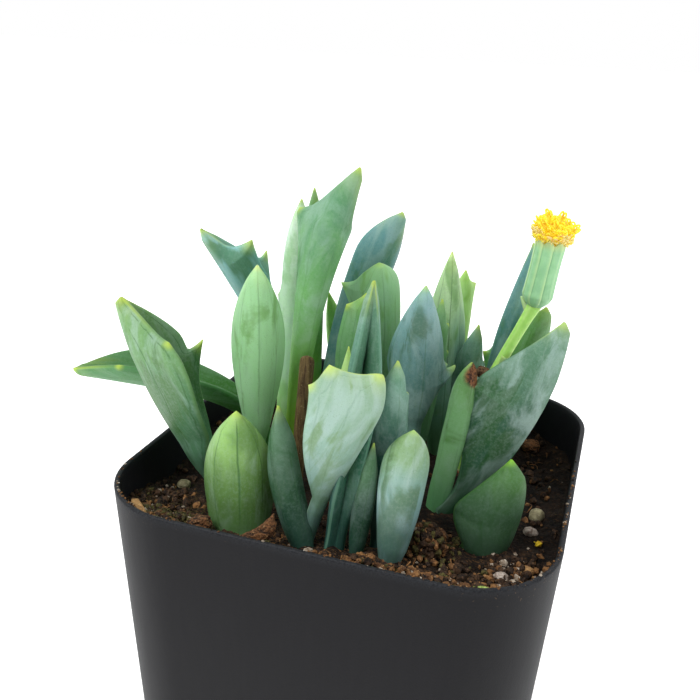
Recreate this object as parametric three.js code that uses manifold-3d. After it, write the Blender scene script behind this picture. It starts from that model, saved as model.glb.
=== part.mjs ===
// Potted spearhead senecio: a young clump of thick, folded, spear-shaped leaves with one yellow flower
// head, rooted in soil in a thin square nursery pot.
// Millimetres, +Z up. The origin is the centre of the pot's flat base, and the pot's sides lie along X and Y.
import * as THREE from "three";
import { mergeVertices } from "three/addons/utils/BufferGeometryUtils.js";
import Module from "manifold-3d";

const wasm = await Module();
wasm.setup();

// Driving dimensions

const POT = {
  height: 57,
  rimHalf: 28.5,
  cornerRadius: 11.5,
  taper: 0.054,
  wall: 1,
  floor: 1.4,
  rimRound: 0.3,
  baseRound: 0.9,
  cornerSteps: 6,
  drainRadius: 3,
  drainOffset: 13.5,
  drainSides: 12,
};

const SOIL = {
  level: 52.2,
  crestHeight: 3.2,
  crestReach: 5,
  ringPoints: 56,
  rings: 9,
  lumps: 90,
  lumpHeight: 0.8,
  lumpSpread: [1.2, 2.6],
  seed: 7,
};

// Hollows and swells of the soil's surface, with their height positive upwards.
const SOIL_SWELLS = [
  { x: -22, y: -7, spread: 8, height: -3.4 },
  { x: 21, y: 17, spread: 9, height: -4.2 },
  { x: -20, y: 19, spread: 8, height: -3 },
  { x: 12, y: -18.5, spread: 3.2, height: 1.1 },
];

const CLEARANCE = 0.35; // round a piece that stands in the soil or lies in its hollow
const CROWN = { top: 46.5, bottom: 41, radius: 1.9, bottomRadius: 1.1, sides: 8 };
const ROOT_LEVEL = 52; // where the axis of a petiole starts, just under the surface of the soil
const FOOT_RADIUS = 1.1;
const FOOT_END = 0.5; // how far the buried foot of a leaf reaches beyond its last ring
const HOLE_REACH = 4; // how far a hole follows its leaf up from the root level

const LEFT = -1;
const RIGHT = 1;
const OUTER_SHARE = 0.62; // of a leaf's thickness, outside the middle surface
const TOOTH_HOOK = 0.6; // how far a tooth leans to the tip, as a share of its size
const TOOTH_RISE = 0.15; // share of the leaf's length over which a tooth rises
const TOOTH_DROP = 0.06; // and over which it drops again towards the tip
const BLADE_LEAST = 0.62; // thickness
const BLADE_MOST = { ofWidth: 1.3, more: 0.3 }; // thickness of a narrow part against its half width
const UNFOLDED = { share: 0.25, until: 0.4 }; // a petiole's share of the fold, and where it is all there
const THIN_TIP = { share: 0.55, from: 0.75 }; // a tip's share of the thickness, and where it starts to thin
const SHOULDER = 0.5; // share of the half width where a section has its middle points
const KEEL_SHARE = 0.3; // share of the half width over which a blade folds
const SECTION_POINTS = 8;

// Leaf outlines: the share of the length where the petiole ends, the petiole's share of the half width,
// where the blade is widest, how it swells to that width, whether it rounds off there (2) or comes to
// an edge (1), and how full it stays from there to the tip.
const FORMS = {
  spear: { neck: 0.1, foot: 0.22, peak: 0.64, swell: 1.4, round: 2, belly: 1.3 },
  blade: { neck: 0.1, foot: 0.38, peak: 0.64, swell: 1.4, round: 2, belly: 1.3 },
  kite: { neck: 0.34, foot: 0.2, peak: 0.62, swell: 1.1, round: 1.6, belly: 1.6 },
  flare: { neck: 0, foot: 0.2, peak: 0.8, swell: 2.6, round: 1, belly: 0.95 },
  cup: { neck: 0.2, foot: 0.2, peak: 0.8, swell: 1.4, round: 2, belly: 1.9 },
  ladle: { neck: 0.1, foot: 0.4, peak: 0.8, swell: 1.6, round: 2, belly: 1.9 },
  crest: { neck: 0.1, foot: 0.4, peak: 0.8, swell: 1, round: 2, belly: 2.6 },
  oval: { neck: 0, foot: 0.42, peak: 0.46, swell: 0.9, round: 2, belly: 2.1 },
  heart: { neck: 0, foot: 0.6, peak: 0.34, swell: 1, round: 2, belly: 1.5 },
  drop: { neck: 0.1, foot: 0.2, peak: 0.64, swell: 2.2, round: 2, belly: 2.2 },
  lance: { neck: 0, foot: 0.34, peak: 0.55, swell: 1, round: 2, belly: 1.7 },
  spoon: { neck: 0.05, foot: 0.3, peak: 0.7, swell: 1.1, round: 2, belly: 2.4 },
  strap: { neck: 0, foot: 0.6, peak: 0.7, swell: 1, round: 2, belly: 2.6 },
  wide: { neck: 0.1, foot: 0.26, peak: 0.72, swell: 1.1, round: 2, belly: 1.4 },
  claw: { neck: 0, foot: 0.2, peak: 0.72, swell: 3, round: 1.3, belly: 1 },
  goblet: { neck: 0.3, foot: 0.15, peak: 0.82, swell: 1.1, round: 2, belly: 1.9 },
  stub: { neck: 0, foot: 0.8, peak: 0.92, swell: 1, round: 1, belly: 5 },
};

// The leafy stems, each a buried crown with its leaves.
// A leaf rises from at, and its tip lies length away, at an angle lean from upright towards a heading.
// Headings are in degrees from +X towards +Y. The channel of the blade opens to the heading face, raised
// by lift. bow carries the middle of the leaf outwards and down, and sway carries it sideways. bend is the
// share of the leaf's length where it curves most, 0.5 if not given.
// half is the half width laid flat, fold the angle by which each half turns up, thick the thickness at the
// keel. lop makes the right half wider and the left half narrower by that share. sink is how far the keel
// bellies out where the blade is wide, as a share of half.
// A tooth has its side, its place along the leaf and its size.
const STEMS = {
  leafy_stem_front_left: {
    crown: [-9, -19.5],
    leaves: [
      { at: [-9.4, -22.7], length: 17, lean: 9, toward: 125, face: 110, half: 4.9, fold: 34,
        thick: 3.4, form: "oval", bow: 0.5 },
    ],
  },
  leafy_stem_front: {
    crown: [4, -18.5],
    leaves: [
      { at: [-0.3, -23.3], length: 19.2, lean: 22, toward: 145, face: 140, half: 2.3, fold: 48,
        thick: 2.4, form: "lance", bow: 1 },
      { at: [-1.9, -21.2], length: 25.5, lean: 19.4, toward: 10, face: 176, half: 6.2, fold: 68,
        thick: 1.6, form: "goblet", bow: -0.6, sway: 0.4, sink: 0.24, lop: 0.2,
        teeth: [[RIGHT, 0.92, 1.9], [RIGHT, 0.82, 0.9]] },
      { at: [2.3, -22.1], length: 34, lean: 17, toward: 87, face: 300, half: 3.4, fold: 64, thick: 1.8,
        form: "blade", bow: 0.2 },
      { at: [4.9, -21.7], length: 15.2, lean: 14, toward: 80, face: 110, half: 1.4, fold: 30,
        thick: 1.6, form: "lance" },
      { at: [6.8, -19.1], length: 24.2, lean: 14, toward: 93, face: 128, half: 3.8, fold: 44, thick: 2,
        form: "spear", bow: 0.6, teeth: [[LEFT, 0.8, 0.9]] },
      { at: [9.1, -22.4], length: 17.9, lean: 14, toward: 76, face: 115, half: 3.2, fold: 36,
        thick: 2.6, form: "spoon", bow: 0.4 },
    ],
  },
  leafy_stem_right: {
    crown: [14, -9.5],
    leaves: [
      { at: [19.2, -13], length: 12.6, lean: 11, toward: 50, face: 130, half: 4.4, fold: 34,
        thick: 3.2, form: "heart", bow: 0.8, sway: -0.4, lop: 0.35 },
      { at: [12.2, -6.6], length: 30, lean: 30, toward: 38, face: 172, half: 8.6, fold: 62, thick: 2.6,
        form: "spear", bow: 3, teeth: [[RIGHT, 0.57, 1.1], [RIGHT, 0.44, 0.6], [LEFT, 0.7, 1.6]] },
      { at: [11.3, -6.9], length: 21.2, lean: 13, toward: 61, face: 120, half: 2.2, fold: 62,
        thick: 1.8, form: "strap", bow: 0.5 },
    ],
  },
  leafy_stem_left: {
    crown: [-16.5, -7.5],
    leaves: [
      { at: [-13.9, -7.6], length: 31.5, lean: 2, toward: 285, face: 110, half: 4.1, fold: 36,
        thick: 2.6, form: "drop", bow: 0.4 },
      { at: [-18, -9.8], length: 29.6, lean: 25.4, toward: 203, face: 12, half: 8, fold: 56,
        thick: 2.6, form: "wide", bow: 1.5, lop: -0.26, teeth: [[LEFT, 0.8, 0.7], [RIGHT, 0.6, 2.7]] },
      { at: [-16.3, 2.5], length: 31, lean: 66.3, toward: 203, face: 10, lift: 60, half: 4.9, fold: 44,
        thick: 2.2, form: "cup", bow: -4.8, bend: 0.16, lop: -0.15, teeth: [[LEFT, 0.86, 0.5]] },
    ],
  },
  leafy_stem_tall: {
    crown: [-11.5, 1.5],
    leaves: [
      { at: [-10.3, -3.3], length: 44.1, lean: 10, toward: 26, face: 130, half: 5.7, fold: 58,
        thick: 1.9, form: "flare", bow: -2.2, teeth: [[RIGHT, 0.81, 1], [LEFT, 0.81, 0.8]] },
      { at: [-14.6, 4.1], length: 38.2, lean: 4, toward: 330, face: 112, half: 2.2, fold: 30,
        thick: 1.8, form: "strap", teeth: [[RIGHT, 0.62, 0.5]] },
      { at: [-12, 8.6], length: 38.8, lean: 1, toward: 223, face: 110, half: 1.6, fold: 30, thick: 1.8,
        form: "strap" },
      { at: [-11, 8.2], length: 38, lean: 17, toward: 8, face: 135, half: 4.2, fold: 40, thick: 2,
        form: "ladle", bow: -0.4 },
    ],
  },
  leafy_stem_centre: {
    crown: [-1.5, 1.5],
    leaves: [
      { at: [-1, 6], length: 30.4, lean: 4, toward: 262, face: 125, half: 4.2, fold: 34, thick: 1.8,
        form: "crest", bow: -1.2, teeth: [[RIGHT, 0.86, 1.6]] },
      { at: [-2.8, -1.4], length: 27.4, lean: 3, toward: 14, face: 150, half: 3.3, fold: 46,
        thick: 1.8, form: "strap", teeth: [[RIGHT, 0.92, 0.7]] },
      { at: [-2.6, -5], length: 22.4, lean: 8, toward: 294, face: 110, half: 1.5, fold: 30, thick: 1.6,
        form: "lance" },
    ],
  },
  leafy_stem_centre_right: {
    crown: [7.5, 5.5],
    leaves: [
      { at: [6.2, -1.1], length: 29.2, lean: 2, toward: 85, face: 112, half: 4.5, fold: 36, thick: 2.2,
        form: "kite", bow: 0.5, lop: 0.1,
        teeth: [[LEFT, 0.52, 2.8], [LEFT, 0.58, 1], [RIGHT, 0.5, 0.3]] },
      { at: [7.8, 9.9], length: 31.3, lean: 3, toward: 115, face: 110, half: 3.4, fold: 30, thick: 2,
        form: "lance" },
      { at: [5.6, 6], length: 25.6, lean: 4, toward: 27, face: 125, half: 2.6, fold: 36, thick: 1.6,
        form: "spear", teeth: [[LEFT, 0.82, 1], [LEFT, 0.66, 0.8]] },
      { at: [9.6, 10.2], length: 21.2, lean: 7, toward: 30, face: 120, half: 2.8, fold: 30, thick: 1.8,
        form: "spear", teeth: [[LEFT, 0.7, 0.6]] },
    ],
  },
  leafy_stem_back_right: {
    crown: [12.5, 17],
    leaves: [
      { at: [11.8, 17.2], length: 33.5, lean: 11, toward: 340, face: 170, half: 2.4, fold: 50,
        thick: 1.7, form: "lance", bow: 0.8 },
      { at: [14.8, 15], length: 25, lean: 14, toward: 349, face: 130, half: 3.1, fold: 38,
        thick: 2.2, form: "spoon", bow: 0.6 },
      { at: [7.2, 17.7], length: 27.4, lean: 3, toward: 323, face: 110, half: 1.9, fold: 30,
        thick: 1.6, form: "strap", teeth: [[LEFT, 0.9, 0.9]] },
      { at: [14.5, 20.5], length: 19, lean: 20, toward: 80, face: 260, half: 4.2, fold: 40, thick: 2.4,
        form: "spear", bow: 1.2, teeth: [[LEFT, 0.66, 0.8], [RIGHT, 0.64, 0.9]] },
    ],
  },
  leafy_stem_back_left: {
    crown: [-15, 13.5],
    leaves: [
      { at: [-14.8, 12], length: 37.4, lean: 27, toward: 231, face: 40, lift: 30, half: 5.4, fold: 60,
        thick: 2, form: "claw", bow: -1.6, lop: 0.1, teeth: [[LEFT, 0.84, 3.2], [RIGHT, 0.68, 2.6]] },
      { at: [-17, 17.4], length: 18, lean: 24, toward: 130, face: 310, half: 4, fold: 36, thick: 2.8,
        form: "oval", bow: 0.8 },
    ],
  },
  leafy_stem_back: {
    crown: [-2, 17.5],
    leaves: [
      { at: [-6.5, 15], length: 24, lean: 15, toward: 228, face: 110, half: 2.2, fold: 30, thick: 1.8,
        form: "lance" },
      { at: [-4.5, 20], length: 20, lean: 20, toward: 110, face: 285, half: 5, fold: 48, thick: 2.4,
        form: "spear", bow: 1.2, teeth: [[LEFT, 0.62, 1], [RIGHT, 0.6, 0.8]] },
      { at: [2.5, 18.5], length: 22, lean: 12, toward: 60, face: 250, half: 3.6, fold: 40, thick: 2.4,
        form: "lance", bow: 0.8 },
    ],
  },
};

// A dead leaf, dried to a brown curled strip among the petioles.
const DRY_LEAF = {
  at: [-7.6, -9.5], length: 20.3, lean: 4, toward: 50, face: 100, half: 1.1, fold: 34, thick: 0.9,
  form: "stub",
};

const STALK = {
  route: [[11.5, 7.5, 43], [11.8, 8, 53], [13, 8.8, 61], [15.5, 9.6, 68], [19.4, 10.4, 77.4]],
  radius: 0.8,
  sides: 8,
  steps: 12,
};

const HEAD = {
  base: [19.4, 10.4, 77.2],
  top: [20.5, 10.8, 86.5],
  bottomDrop: 0.4,
  ribs: 8,
  pointsPerRib: 3,
  ribDepth: 0.08,
  tipHeight: 0.35,
  lip: 0.2,
  cupDepth: 2.2,
  cupRadius: 1.35,
  // radius of the involucre against the share of its length
  profile: [[0, 0.95], [0.07, 1.65], [0.16, 2], [0.32, 1.95], [0.62, 1.9], [0.86, 1.95], [1, 2]],
};

const FLORETS = {
  count: 20,
  sides: 4,
  coreRadius: 0.95,
  coreRise: 1,
  coreSides: 8,
  heart: 0.1, // how far above the involucre the florets meet
  rootDepth: 0.75,
  length: [2.6, 3.5],
  tubeRadius: 0.24,
  mouthRadius: 0.45,
  armRadius: 0.2,
  armSpread: 0.65,
  armDrop: 0.1,
  armSides: 3,
  splay: 60,
  seed: 11,
};

// A small bract that stands on the stalk against the foot of the head: how far along the head's axis
// and how far out its root and its tip are, and its half thickness there.
const BRACT = { root: [-1.2, 0.7], tip: [0.9, 2.1], rootRadius: 0.45, tipRadius: 0.15, angle: 180, sides: 4 };

// Two side buds that dried up beside the stalk.
const WITHERED_BUDS = [
  { name: "withered_bud_left", at: [13.6, 7.8, 67.3], size: [0.9, 0.8, 1.2], turn: [10, 25, 0] },
  { name: "withered_bud_right", at: [17.5, 8.6, 68.9], size: [0.9, 0.8, 1], turn: [0, -30, 20] },
];

// Small pieces that lie in hollows of the soil: how far their middle stands above it, their half sizes
// and their turns in degrees.
const BITS = {
  bark_chip_large: { at: [-5.7, -25.9], rise: 2, size: [3.2, 0.8, 1.2], turn: [0, -28, 6], kind: "bark" },
  bark_chip_small: { at: [-13.7, -25], rise: 1.4, size: [1.6, 0.9, 1.2], turn: [0, -15, -15], kind: "bark" },
  bark_chip_back: { at: [20.5, 22.5], rise: 0.6, size: [1.5, 1.1, 1.5], turn: [0, 20, 30], kind: "bark" },
  straw_piece: { at: [-22.6, -24.1], rise: 1.2, size: [2, 0.6, 0.5], turn: [0, 8, -41], kind: "straw" },
  perlite_left: { at: [-24.6, -9.4], rise: 0.35, size: [1, 0.9, 0.8], turn: [0, 0, 20], kind: "stone" },
  perlite_right: { at: [24.2, -3], rise: 0.35, size: [1.1, 1, 0.9], turn: [0, 0, 50], kind: "stone" },
  stone_right: { at: [24, -7.4], rise: 0.3, size: [1, 0.8, 0.8], turn: [0, 15, 0], kind: "stone" },
  stone_front: { at: [22, -19.6], rise: 0.4, size: [1, 0.9, 0.9], turn: [0, 0, 35], kind: "stone" },
  crumb_front: { at: [24.6, -16.6], rise: 0.35, size: [1, 0.8, 0.7], turn: [0, 0, 65], kind: "straw" },
  leaf_scrap_right: { at: [20.4, -23.4], rise: 0.35, size: [1.3, 0.7, 0.5], turn: [0, 0, 12], kind: "scrap" },
  leaf_scrap_front: { at: [6.6, -25.3], rise: 0.35, size: [0.8, 0.6, 0.6], turn: [0, 0, 60], kind: "scrap" },
};
const BIT_NOISE = 0.16;

const LOOKS = {
  pot: { color: 0x2d2c31, roughness: 0.5, metalness: 0 },
  soil: { color: 0x2a1b12, roughness: 0.95, metalness: 0 },
  leaf: { color: 0x7fae95, roughness: 0.55, metalness: 0 },
  stalk: { color: 0x8fc266, roughness: 0.5, metalness: 0 },
  floret: { color: 0xf2cf1f, roughness: 0.6, metalness: 0 },
  dry: { color: 0x6a4427, roughness: 0.85, metalness: 0 },
  bark: { color: 0x7a4a2a, roughness: 0.9, metalness: 0 },
  straw: { color: 0xb98a54, roughness: 0.85, metalness: 0 },
  stone: { color: 0xb9a99a, roughness: 0.85, metalness: 0 },
  scrap: { color: 0x9dbb62, roughness: 0.6, metalness: 0 },
};

// Solids

// A seeded random number from 0 to 1 at each call.
function randomFrom(seed) {
  let state = seed >>> 0;
  return () => {
    state = (state + 0x6d2b79f5) >>> 0;
    let mixed = Math.imul(state ^ (state >>> 15), 1 | state);
    mixed = (mixed + Math.imul(mixed ^ (mixed >>> 7), 61 | mixed)) ^ mixed;
    return ((mixed ^ (mixed >>> 14)) >>> 0) / 4294967296;
  };
}

function solidFromGeometry(geometry) {
  geometry.deleteAttribute("normal");
  geometry.deleteAttribute("uv");
  const merged = mergeVertices(geometry, 1e-4);
  const mesh = new wasm.Mesh({
    numProp: 3,
    vertProperties: new Float32Array(merged.attributes.position.array),
    triVerts: new Uint32Array(merged.index.array),
  });
  return new wasm.Manifold(mesh);
}

// A closed solid through rings of as many points each, which turn anticlockwise seen from its far end,
// and close on a point at either end.
function loft(rings, start, end) {
  const points = [...rings.flat(), start, end];
  const count = rings[0].length;
  const last = (rings.length - 1) * count;
  const startIndex = points.length - 2;
  const endIndex = points.length - 1;
  const faces = [];
  for (let j = 0; j < count; j++) {
    const next = (j + 1) % count;
    for (let i = 0; i < last; i += count) {
      faces.push(i + j, i + next, i + count + next, i + j, i + count + next, i + count + j);
    }
    faces.push(startIndex, next, j, endIndex, last + j, last + next);
  }
  const geometry = new THREE.BufferGeometry().setFromPoints(points);
  geometry.setIndex(faces);
  return solidFromGeometry(geometry);
}

// A straight round bar between two points, which may taper.
function bar(from, to, fromRadius, toRadius, sides) {
  const along = to.clone().sub(from);
  const geometry = new THREE.CylinderGeometry(toRadius, fromRadius, along.length(), sides);
  const upright = new THREE.Vector3(0, 1, 0);
  geometry.applyQuaternion(new THREE.Quaternion().setFromUnitVectors(upright, along.clone().normalize()));
  geometry.translate(...from.clone().add(to).multiplyScalar(0.5).toArray());
  return solidFromGeometry(geometry);
}

function union(solids) {
  return solids.reduce((whole, solid) => whole.add(solid));
}

// Only the largest body of a solid, without the loose scraps that cuts leave.
function largestBody(solid) {
  return solid.decompose().reduce((best, body) => (body.volume() > best.volume() ? body : best));
}

function meshOf(name, solid, look) {
  const { numProp, vertProperties, triVerts } = solid.getMesh();
  const geometry = new THREE.BufferGeometry();
  geometry.setAttribute("position", new THREE.BufferAttribute(vertProperties, numProp));
  geometry.setIndex(new THREE.BufferAttribute(triVerts, 1));
  geometry.computeVertexNormals();
  const mesh = new THREE.Mesh(geometry, new THREE.MeshStandardMaterial(look));
  mesh.name = name;
  return mesh;
}

// Pot

function potHalf(z) {
  return POT.rimHalf - POT.taper * (POT.height - z);
}

// A rounded square ring at height z, inset from the pot's outer face.
function potRing(z, inset) {
  const half = potHalf(z) - inset;
  const radius = (POT.cornerRadius * potHalf(z)) / POT.rimHalf - inset;
  const ring = [];
  for (let corner = 0; corner < 4; corner++) {
    for (let step = 0; step <= POT.cornerSteps; step++) {
      const angle = ((corner + step / POT.cornerSteps) * Math.PI) / 2;
      const x = (half - radius) * (corner === 0 || corner === 3 ? 1 : -1) + radius * Math.cos(angle);
      const y = (half - radius) * (corner < 2 ? 1 : -1) + radius * Math.sin(angle);
      ring.push(new THREE.Vector3(x, y, z));
    }
  }
  return ring;
}

function potSolid() {
  const rings = [
    potRing(0, POT.baseRound),
    potRing(POT.baseRound, 0),
    potRing(POT.height - POT.rimRound, 0),
    potRing(POT.height, POT.rimRound),
    potRing(POT.height, POT.wall - POT.rimRound),
    potRing(POT.height - POT.rimRound, POT.wall),
    potRing(POT.floor, POT.wall),
  ];
  let pot = loft(rings, new THREE.Vector3(0, 0, 0), new THREE.Vector3(0, 0, POT.floor));
  for (const x of [-POT.drainOffset, POT.drainOffset]) {
    for (const y of [-POT.drainOffset, POT.drainOffset]) {
      const below = new THREE.Vector3(x, y, -POT.floor);
      const above = new THREE.Vector3(x, y, 2 * POT.floor);
      pot = pot.subtract(bar(below, above, POT.drainRadius, POT.drainRadius, POT.drainSides));
    }
  }
  return pot;
}

// Soil

const soilLumps = (() => {
  const random = randomFrom(SOIL.seed);
  const upTo = (reach) => (2 * random() - 1) * reach;
  return Array.from({ length: SOIL.lumps }, () => ({
    x: upTo(POT.rimHalf),
    y: upTo(POT.rimHalf),
    spread: THREE.MathUtils.lerp(...SOIL.lumpSpread, random()),
    height: upTo(SOIL.lumpHeight),
  }));
})();

function soilHeight(x, y) {
  const crest = SOIL.crestHeight * Math.exp(-(y + potHalf(SOIL.level)) / SOIL.crestReach);
  const swell = [...SOIL_SWELLS, ...soilLumps].reduce((sum, lump) => {
    const distance = Math.hypot(x - lump.x, y - lump.y) / lump.spread;
    return sum + lump.height * Math.exp(-distance * distance);
  }, 0);
  return Math.min(SOIL.level + crest + swell, POT.height - POT.rimRound);
}

function soilSolid() {
  const inset = POT.wall + CLEARANCE;
  const outline = potRing(SOIL.level, inset).map((point) => new THREE.Vector2(point.x, point.y));
  const rim = new THREE.Shape(outline).getSpacedPoints(SOIL.ringPoints).slice(0, SOIL.ringPoints);
  const bottom = POT.floor + CLEARANCE;
  const shrinkTo = (z) => (potHalf(z) - inset) / (potHalf(SOIL.level) - inset);
  const ringAt = (share, heightAt) =>
    rim.map((point) => {
      const z = heightAt(point.x * share, point.y * share);
      const scale = share * shrinkTo(z);
      return new THREE.Vector3(point.x * scale, point.y * scale, z);
    });
  const rings = [ringAt(1, () => bottom)];
  for (let ring = SOIL.rings; ring > 0; ring--) {
    rings.push(ringAt(ring / SOIL.rings, soilHeight));
  }
  return loft(rings, new THREE.Vector3(0, 0, bottom), new THREE.Vector3(0, 0, soilHeight(0, 0)));
}

// Leaves

const radians = THREE.MathUtils.degToRad;

function heading(degrees, lift = 0) {
  const level = Math.cos(radians(lift));
  const turn = radians(degrees);
  return new THREE.Vector3(Math.cos(turn) * level, Math.sin(turn) * level, Math.sin(radians(lift)));
}

// The midrib of a leaf, a curve from its root to its tip.
function midrib(leaf) {
  const up = new THREE.Vector3(0, 0, 1);
  const away = heading(leaf.toward);
  const lean = radians(leaf.lean);
  const chord = away.clone().multiplyScalar(Math.sin(lean)).addScaledVector(up, Math.cos(lean));
  const outwards = away.clone().multiplyScalar(Math.cos(lean)).addScaledVector(up, -Math.sin(lean));
  const sideways = chord.clone().cross(outwards);
  const root = new THREE.Vector3(leaf.at[0], leaf.at[1], ROOT_LEVEL);
  const tip = root.clone().addScaledVector(chord, leaf.length);
  const middle = root.clone().lerp(tip, leaf.bend ?? 0.5);
  middle.addScaledVector(outwards, 2 * (leaf.bow ?? 0)).addScaledVector(sideways, 2 * (leaf.sway ?? 0));
  return new THREE.QuadraticBezierCurve3(root, middle, tip);
}

// The share of the half width at a place along the leaf.
function outlineShare(form, place) {
  if (place >= form.peak) {
    return 1 - Math.pow((place - form.peak) / (1 - form.peak), form.belly);
  }
  const rise = Math.max(0, (place - form.neck) / (form.peak - form.neck));
  const swollen = 1 - Math.pow(1 - rise, form.round);
  return form.foot + (1 - form.foot) * Math.pow(swollen, form.swell);
}

// How far the teeth of one side stand out at a place along the leaf: a long rise, then a short drop.
function toothReach(leaf, side, place) {
  return (leaf.teeth ?? []).reduce((sum, [toothSide, at, size]) => {
    const distance = place <= at ? (at - place) / TOOTH_RISE : (place - at) / TOOTH_DROP;
    const share = toothSide === side ? Math.max(0, 1 - distance) : 0;
    return sum + size * share * share;
  }, 0);
}

// The places along a leaf where it has a section: even ones, and those that its peak and teeth need.
function sectionPlaces(leaf) {
  const sections = 8;
  const last = 0.96;
  const nearest = 0.04;
  const smallest = 0.018;
  const teeth = (leaf.teeth ?? []).map((tooth) => tooth[1]);
  const fixed = [FORMS[leaf.form].peak, ...teeth, last];
  const even = Array.from({ length: sections }, (_, i) => i / sections);
  const kept = even.filter((place) => fixed.every((other) => Math.abs(place - other) > nearest));
  const beside = teeth.flatMap((place) => [place - TOOTH_RISE / 3, place + TOOTH_DROP / 2]);
  const places = [...kept, ...fixed, ...beside].sort((a, b) => a - b);
  const apart = (place, i) => i === 0 || place - places[i - 1] >= smallest;
  return places.filter((place, i) => apart(place, i) || fixed.includes(place));
}

// A point across half a blade whose surface turns up by fold from its keel to its margin.
function acrossBlade(share, fold) {
  const steps = 12;
  const turnAt = (part) => fold * Math.sin((Math.PI / 2) * Math.min(1, part / KEEL_SHARE));
  let out = 0;
  let up = 0;
  for (let i = 0; i < steps; i++) {
    const angle = turnAt((share * (i + 0.5)) / steps);
    out += (Math.cos(angle) * share) / steps;
    up += (Math.sin(angle) * share) / steps;
  }
  return { out, up, angle: turnAt(share) };
}

// The frame of a leaf at a place along it: its middle, its direction, the way its channel opens, and across.
function leafFrame(leaf, curve, place) {
  const middle = curve.getPoint(place);
  const along = curve.getTangent(place);
  const opening = heading(leaf.face, leaf.lift);
  opening.addScaledVector(along, -along.dot(opening)).normalize();
  return { middle, along, opening, across: along.clone().cross(opening) };
}

// One section of a leaf: from the left margin along the inner face to the right margin, and back along
// the outer face.
function leafSection(leaf, curve, place, grow) {
  const { middle, along, opening, across } = leafFrame(leaf, curve, place);
  const fold = radians(leaf.fold) * Math.min(1, UNFOLDED.share + place / UNFOLDED.until);
  const nearTip = Math.sqrt(Math.min(1, (1 - place) / (1 - THIN_TIP.from)));
  const slim = THIN_TIP.share + (1 - THIN_TIP.share) * nearTip;
  const form = FORMS[leaf.form];
  const half = leaf.half * outlineShare(form, place);
  const sunk = (leaf.sink ?? 0) * (half - leaf.half * form.foot);
  const reach = { [LEFT]: toothReach(leaf, LEFT, place), [RIGHT]: toothReach(leaf, RIGHT, place) };
  const widthOf = (side) => half * (1 + side * (leaf.lop ?? 0)) + reach[side];
  const most = BLADE_MOST.ofWidth * Math.max(widthOf(LEFT), widthOf(RIGHT)) + BLADE_MOST.more;
  const thick = Math.min(Math.max(BLADE_LEAST, leaf.thick * slim), most) + 2 * grow;
  const pointAt = (side, share, depth) => {
    const width = widthOf(side) + grow;
    const { out, up, angle } = acrossBlade(share, fold);
    const offset = depth * thick * Math.sqrt(1 - share * share);
    return middle
      .clone()
      .addScaledVector(across, side * (out * width - Math.sin(angle) * offset))
      .addScaledVector(opening, up * width + Math.cos(angle) * offset - sunk)
      .addScaledVector(along, TOOTH_HOOK * reach[side] * share ** 3);
  };
  return [
    pointAt(LEFT, 1, 0),
    pointAt(LEFT, SHOULDER, 1 - OUTER_SHARE),
    pointAt(LEFT, 0, 1 - OUTER_SHARE),
    pointAt(RIGHT, SHOULDER, 1 - OUTER_SHARE),
    pointAt(RIGHT, 1, 0),
    pointAt(RIGHT, SHOULDER, -OUTER_SHARE),
    pointAt(LEFT, 0, -OUTER_SHARE),
    pointAt(LEFT, SHOULDER, -OUTER_SHARE),
  ];
}

// The ring where the buried foot of a leaf ends in the crown.
function footRing(leaf, curve, centre, grow) {
  const { opening, across } = leafFrame(leaf, curve, 0);
  const radius = FOOT_RADIUS + grow;
  return Array.from({ length: SECTION_POINTS }, (_, i) => {
    const angle = Math.PI - (i / SECTION_POINTS) * 2 * Math.PI;
    return centre
      .clone()
      .addScaledVector(across, radius * Math.cos(angle))
      .addScaledVector(opening, radius * Math.sin(angle));
  });
}

// A leaf with its buried foot, or with grow the hole in the soil that they stand in.
function leafSolid(leaf, crown, grow = 0) {
  const curve = midrib(leaf);
  const heel = new THREE.Vector3(...crown, CROWN.top - CROWN.radius);
  const reach = HOLE_REACH / leaf.length;
  const places = grow > 0 ? [0, reach / 2, reach] : sectionPlaces(leaf);
  const sections = places.map((place) => leafSection(leaf, curve, place, grow));
  const foot = footRing(leaf, curve, heel, grow);
  const below = heel.clone().addScaledVector(curve.getPoint(0).sub(heel).normalize(), -FOOT_END);
  return loft([foot, ...sections], below, curve.getPoint(grow > 0 ? reach : 1));
}

function crownSolid(crown, grow = 0) {
  const bottom = new THREE.Vector3(...crown, CROWN.bottom - grow);
  const top = new THREE.Vector3(...crown, CROWN.top + grow);
  return bar(bottom, top, CROWN.bottomRadius + grow, CROWN.radius + grow, CROWN.sides);
}

// A leafy stem, or with grow its hole.
function stemSolid(stem, grow = 0) {
  const leaves = stem.leaves.map((leaf) => leafSolid(leaf, stem.crown, grow));
  return union([crownSolid(stem.crown, grow), ...leaves]);
}

// Flower

const headFrame = (() => {
  const base = new THREE.Vector3(...HEAD.base);
  const top = new THREE.Vector3(...HEAD.top);
  const axis = top.clone().sub(base);
  const length = axis.length();
  axis.normalize();
  const side = new THREE.Vector3(0, 1, 0).cross(axis).normalize();
  const front = axis.clone().cross(side);
  return { base, top, axis, side, front, length };
})();

// A point round the head's axis: how far along it from the base, at what radius and at what angle.
function headPoint(along, radius, angle) {
  return headFrame.base
    .clone()
    .addScaledVector(headFrame.axis, along)
    .addScaledVector(headFrame.side, radius * Math.cos(angle))
    .addScaledVector(headFrame.front, radius * Math.sin(angle));
}

function headRing(along, radius, ribDepth, tipHeight) {
  const count = HEAD.ribs * HEAD.pointsPerRib;
  return Array.from({ length: count }, (_, i) => {
    const angle = (i / count) * 2 * Math.PI;
    const wave = Math.cos(HEAD.ribs * angle);
    return headPoint(along + tipHeight * wave, radius * (1 + ribDepth * wave), angle);
  });
}

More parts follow.
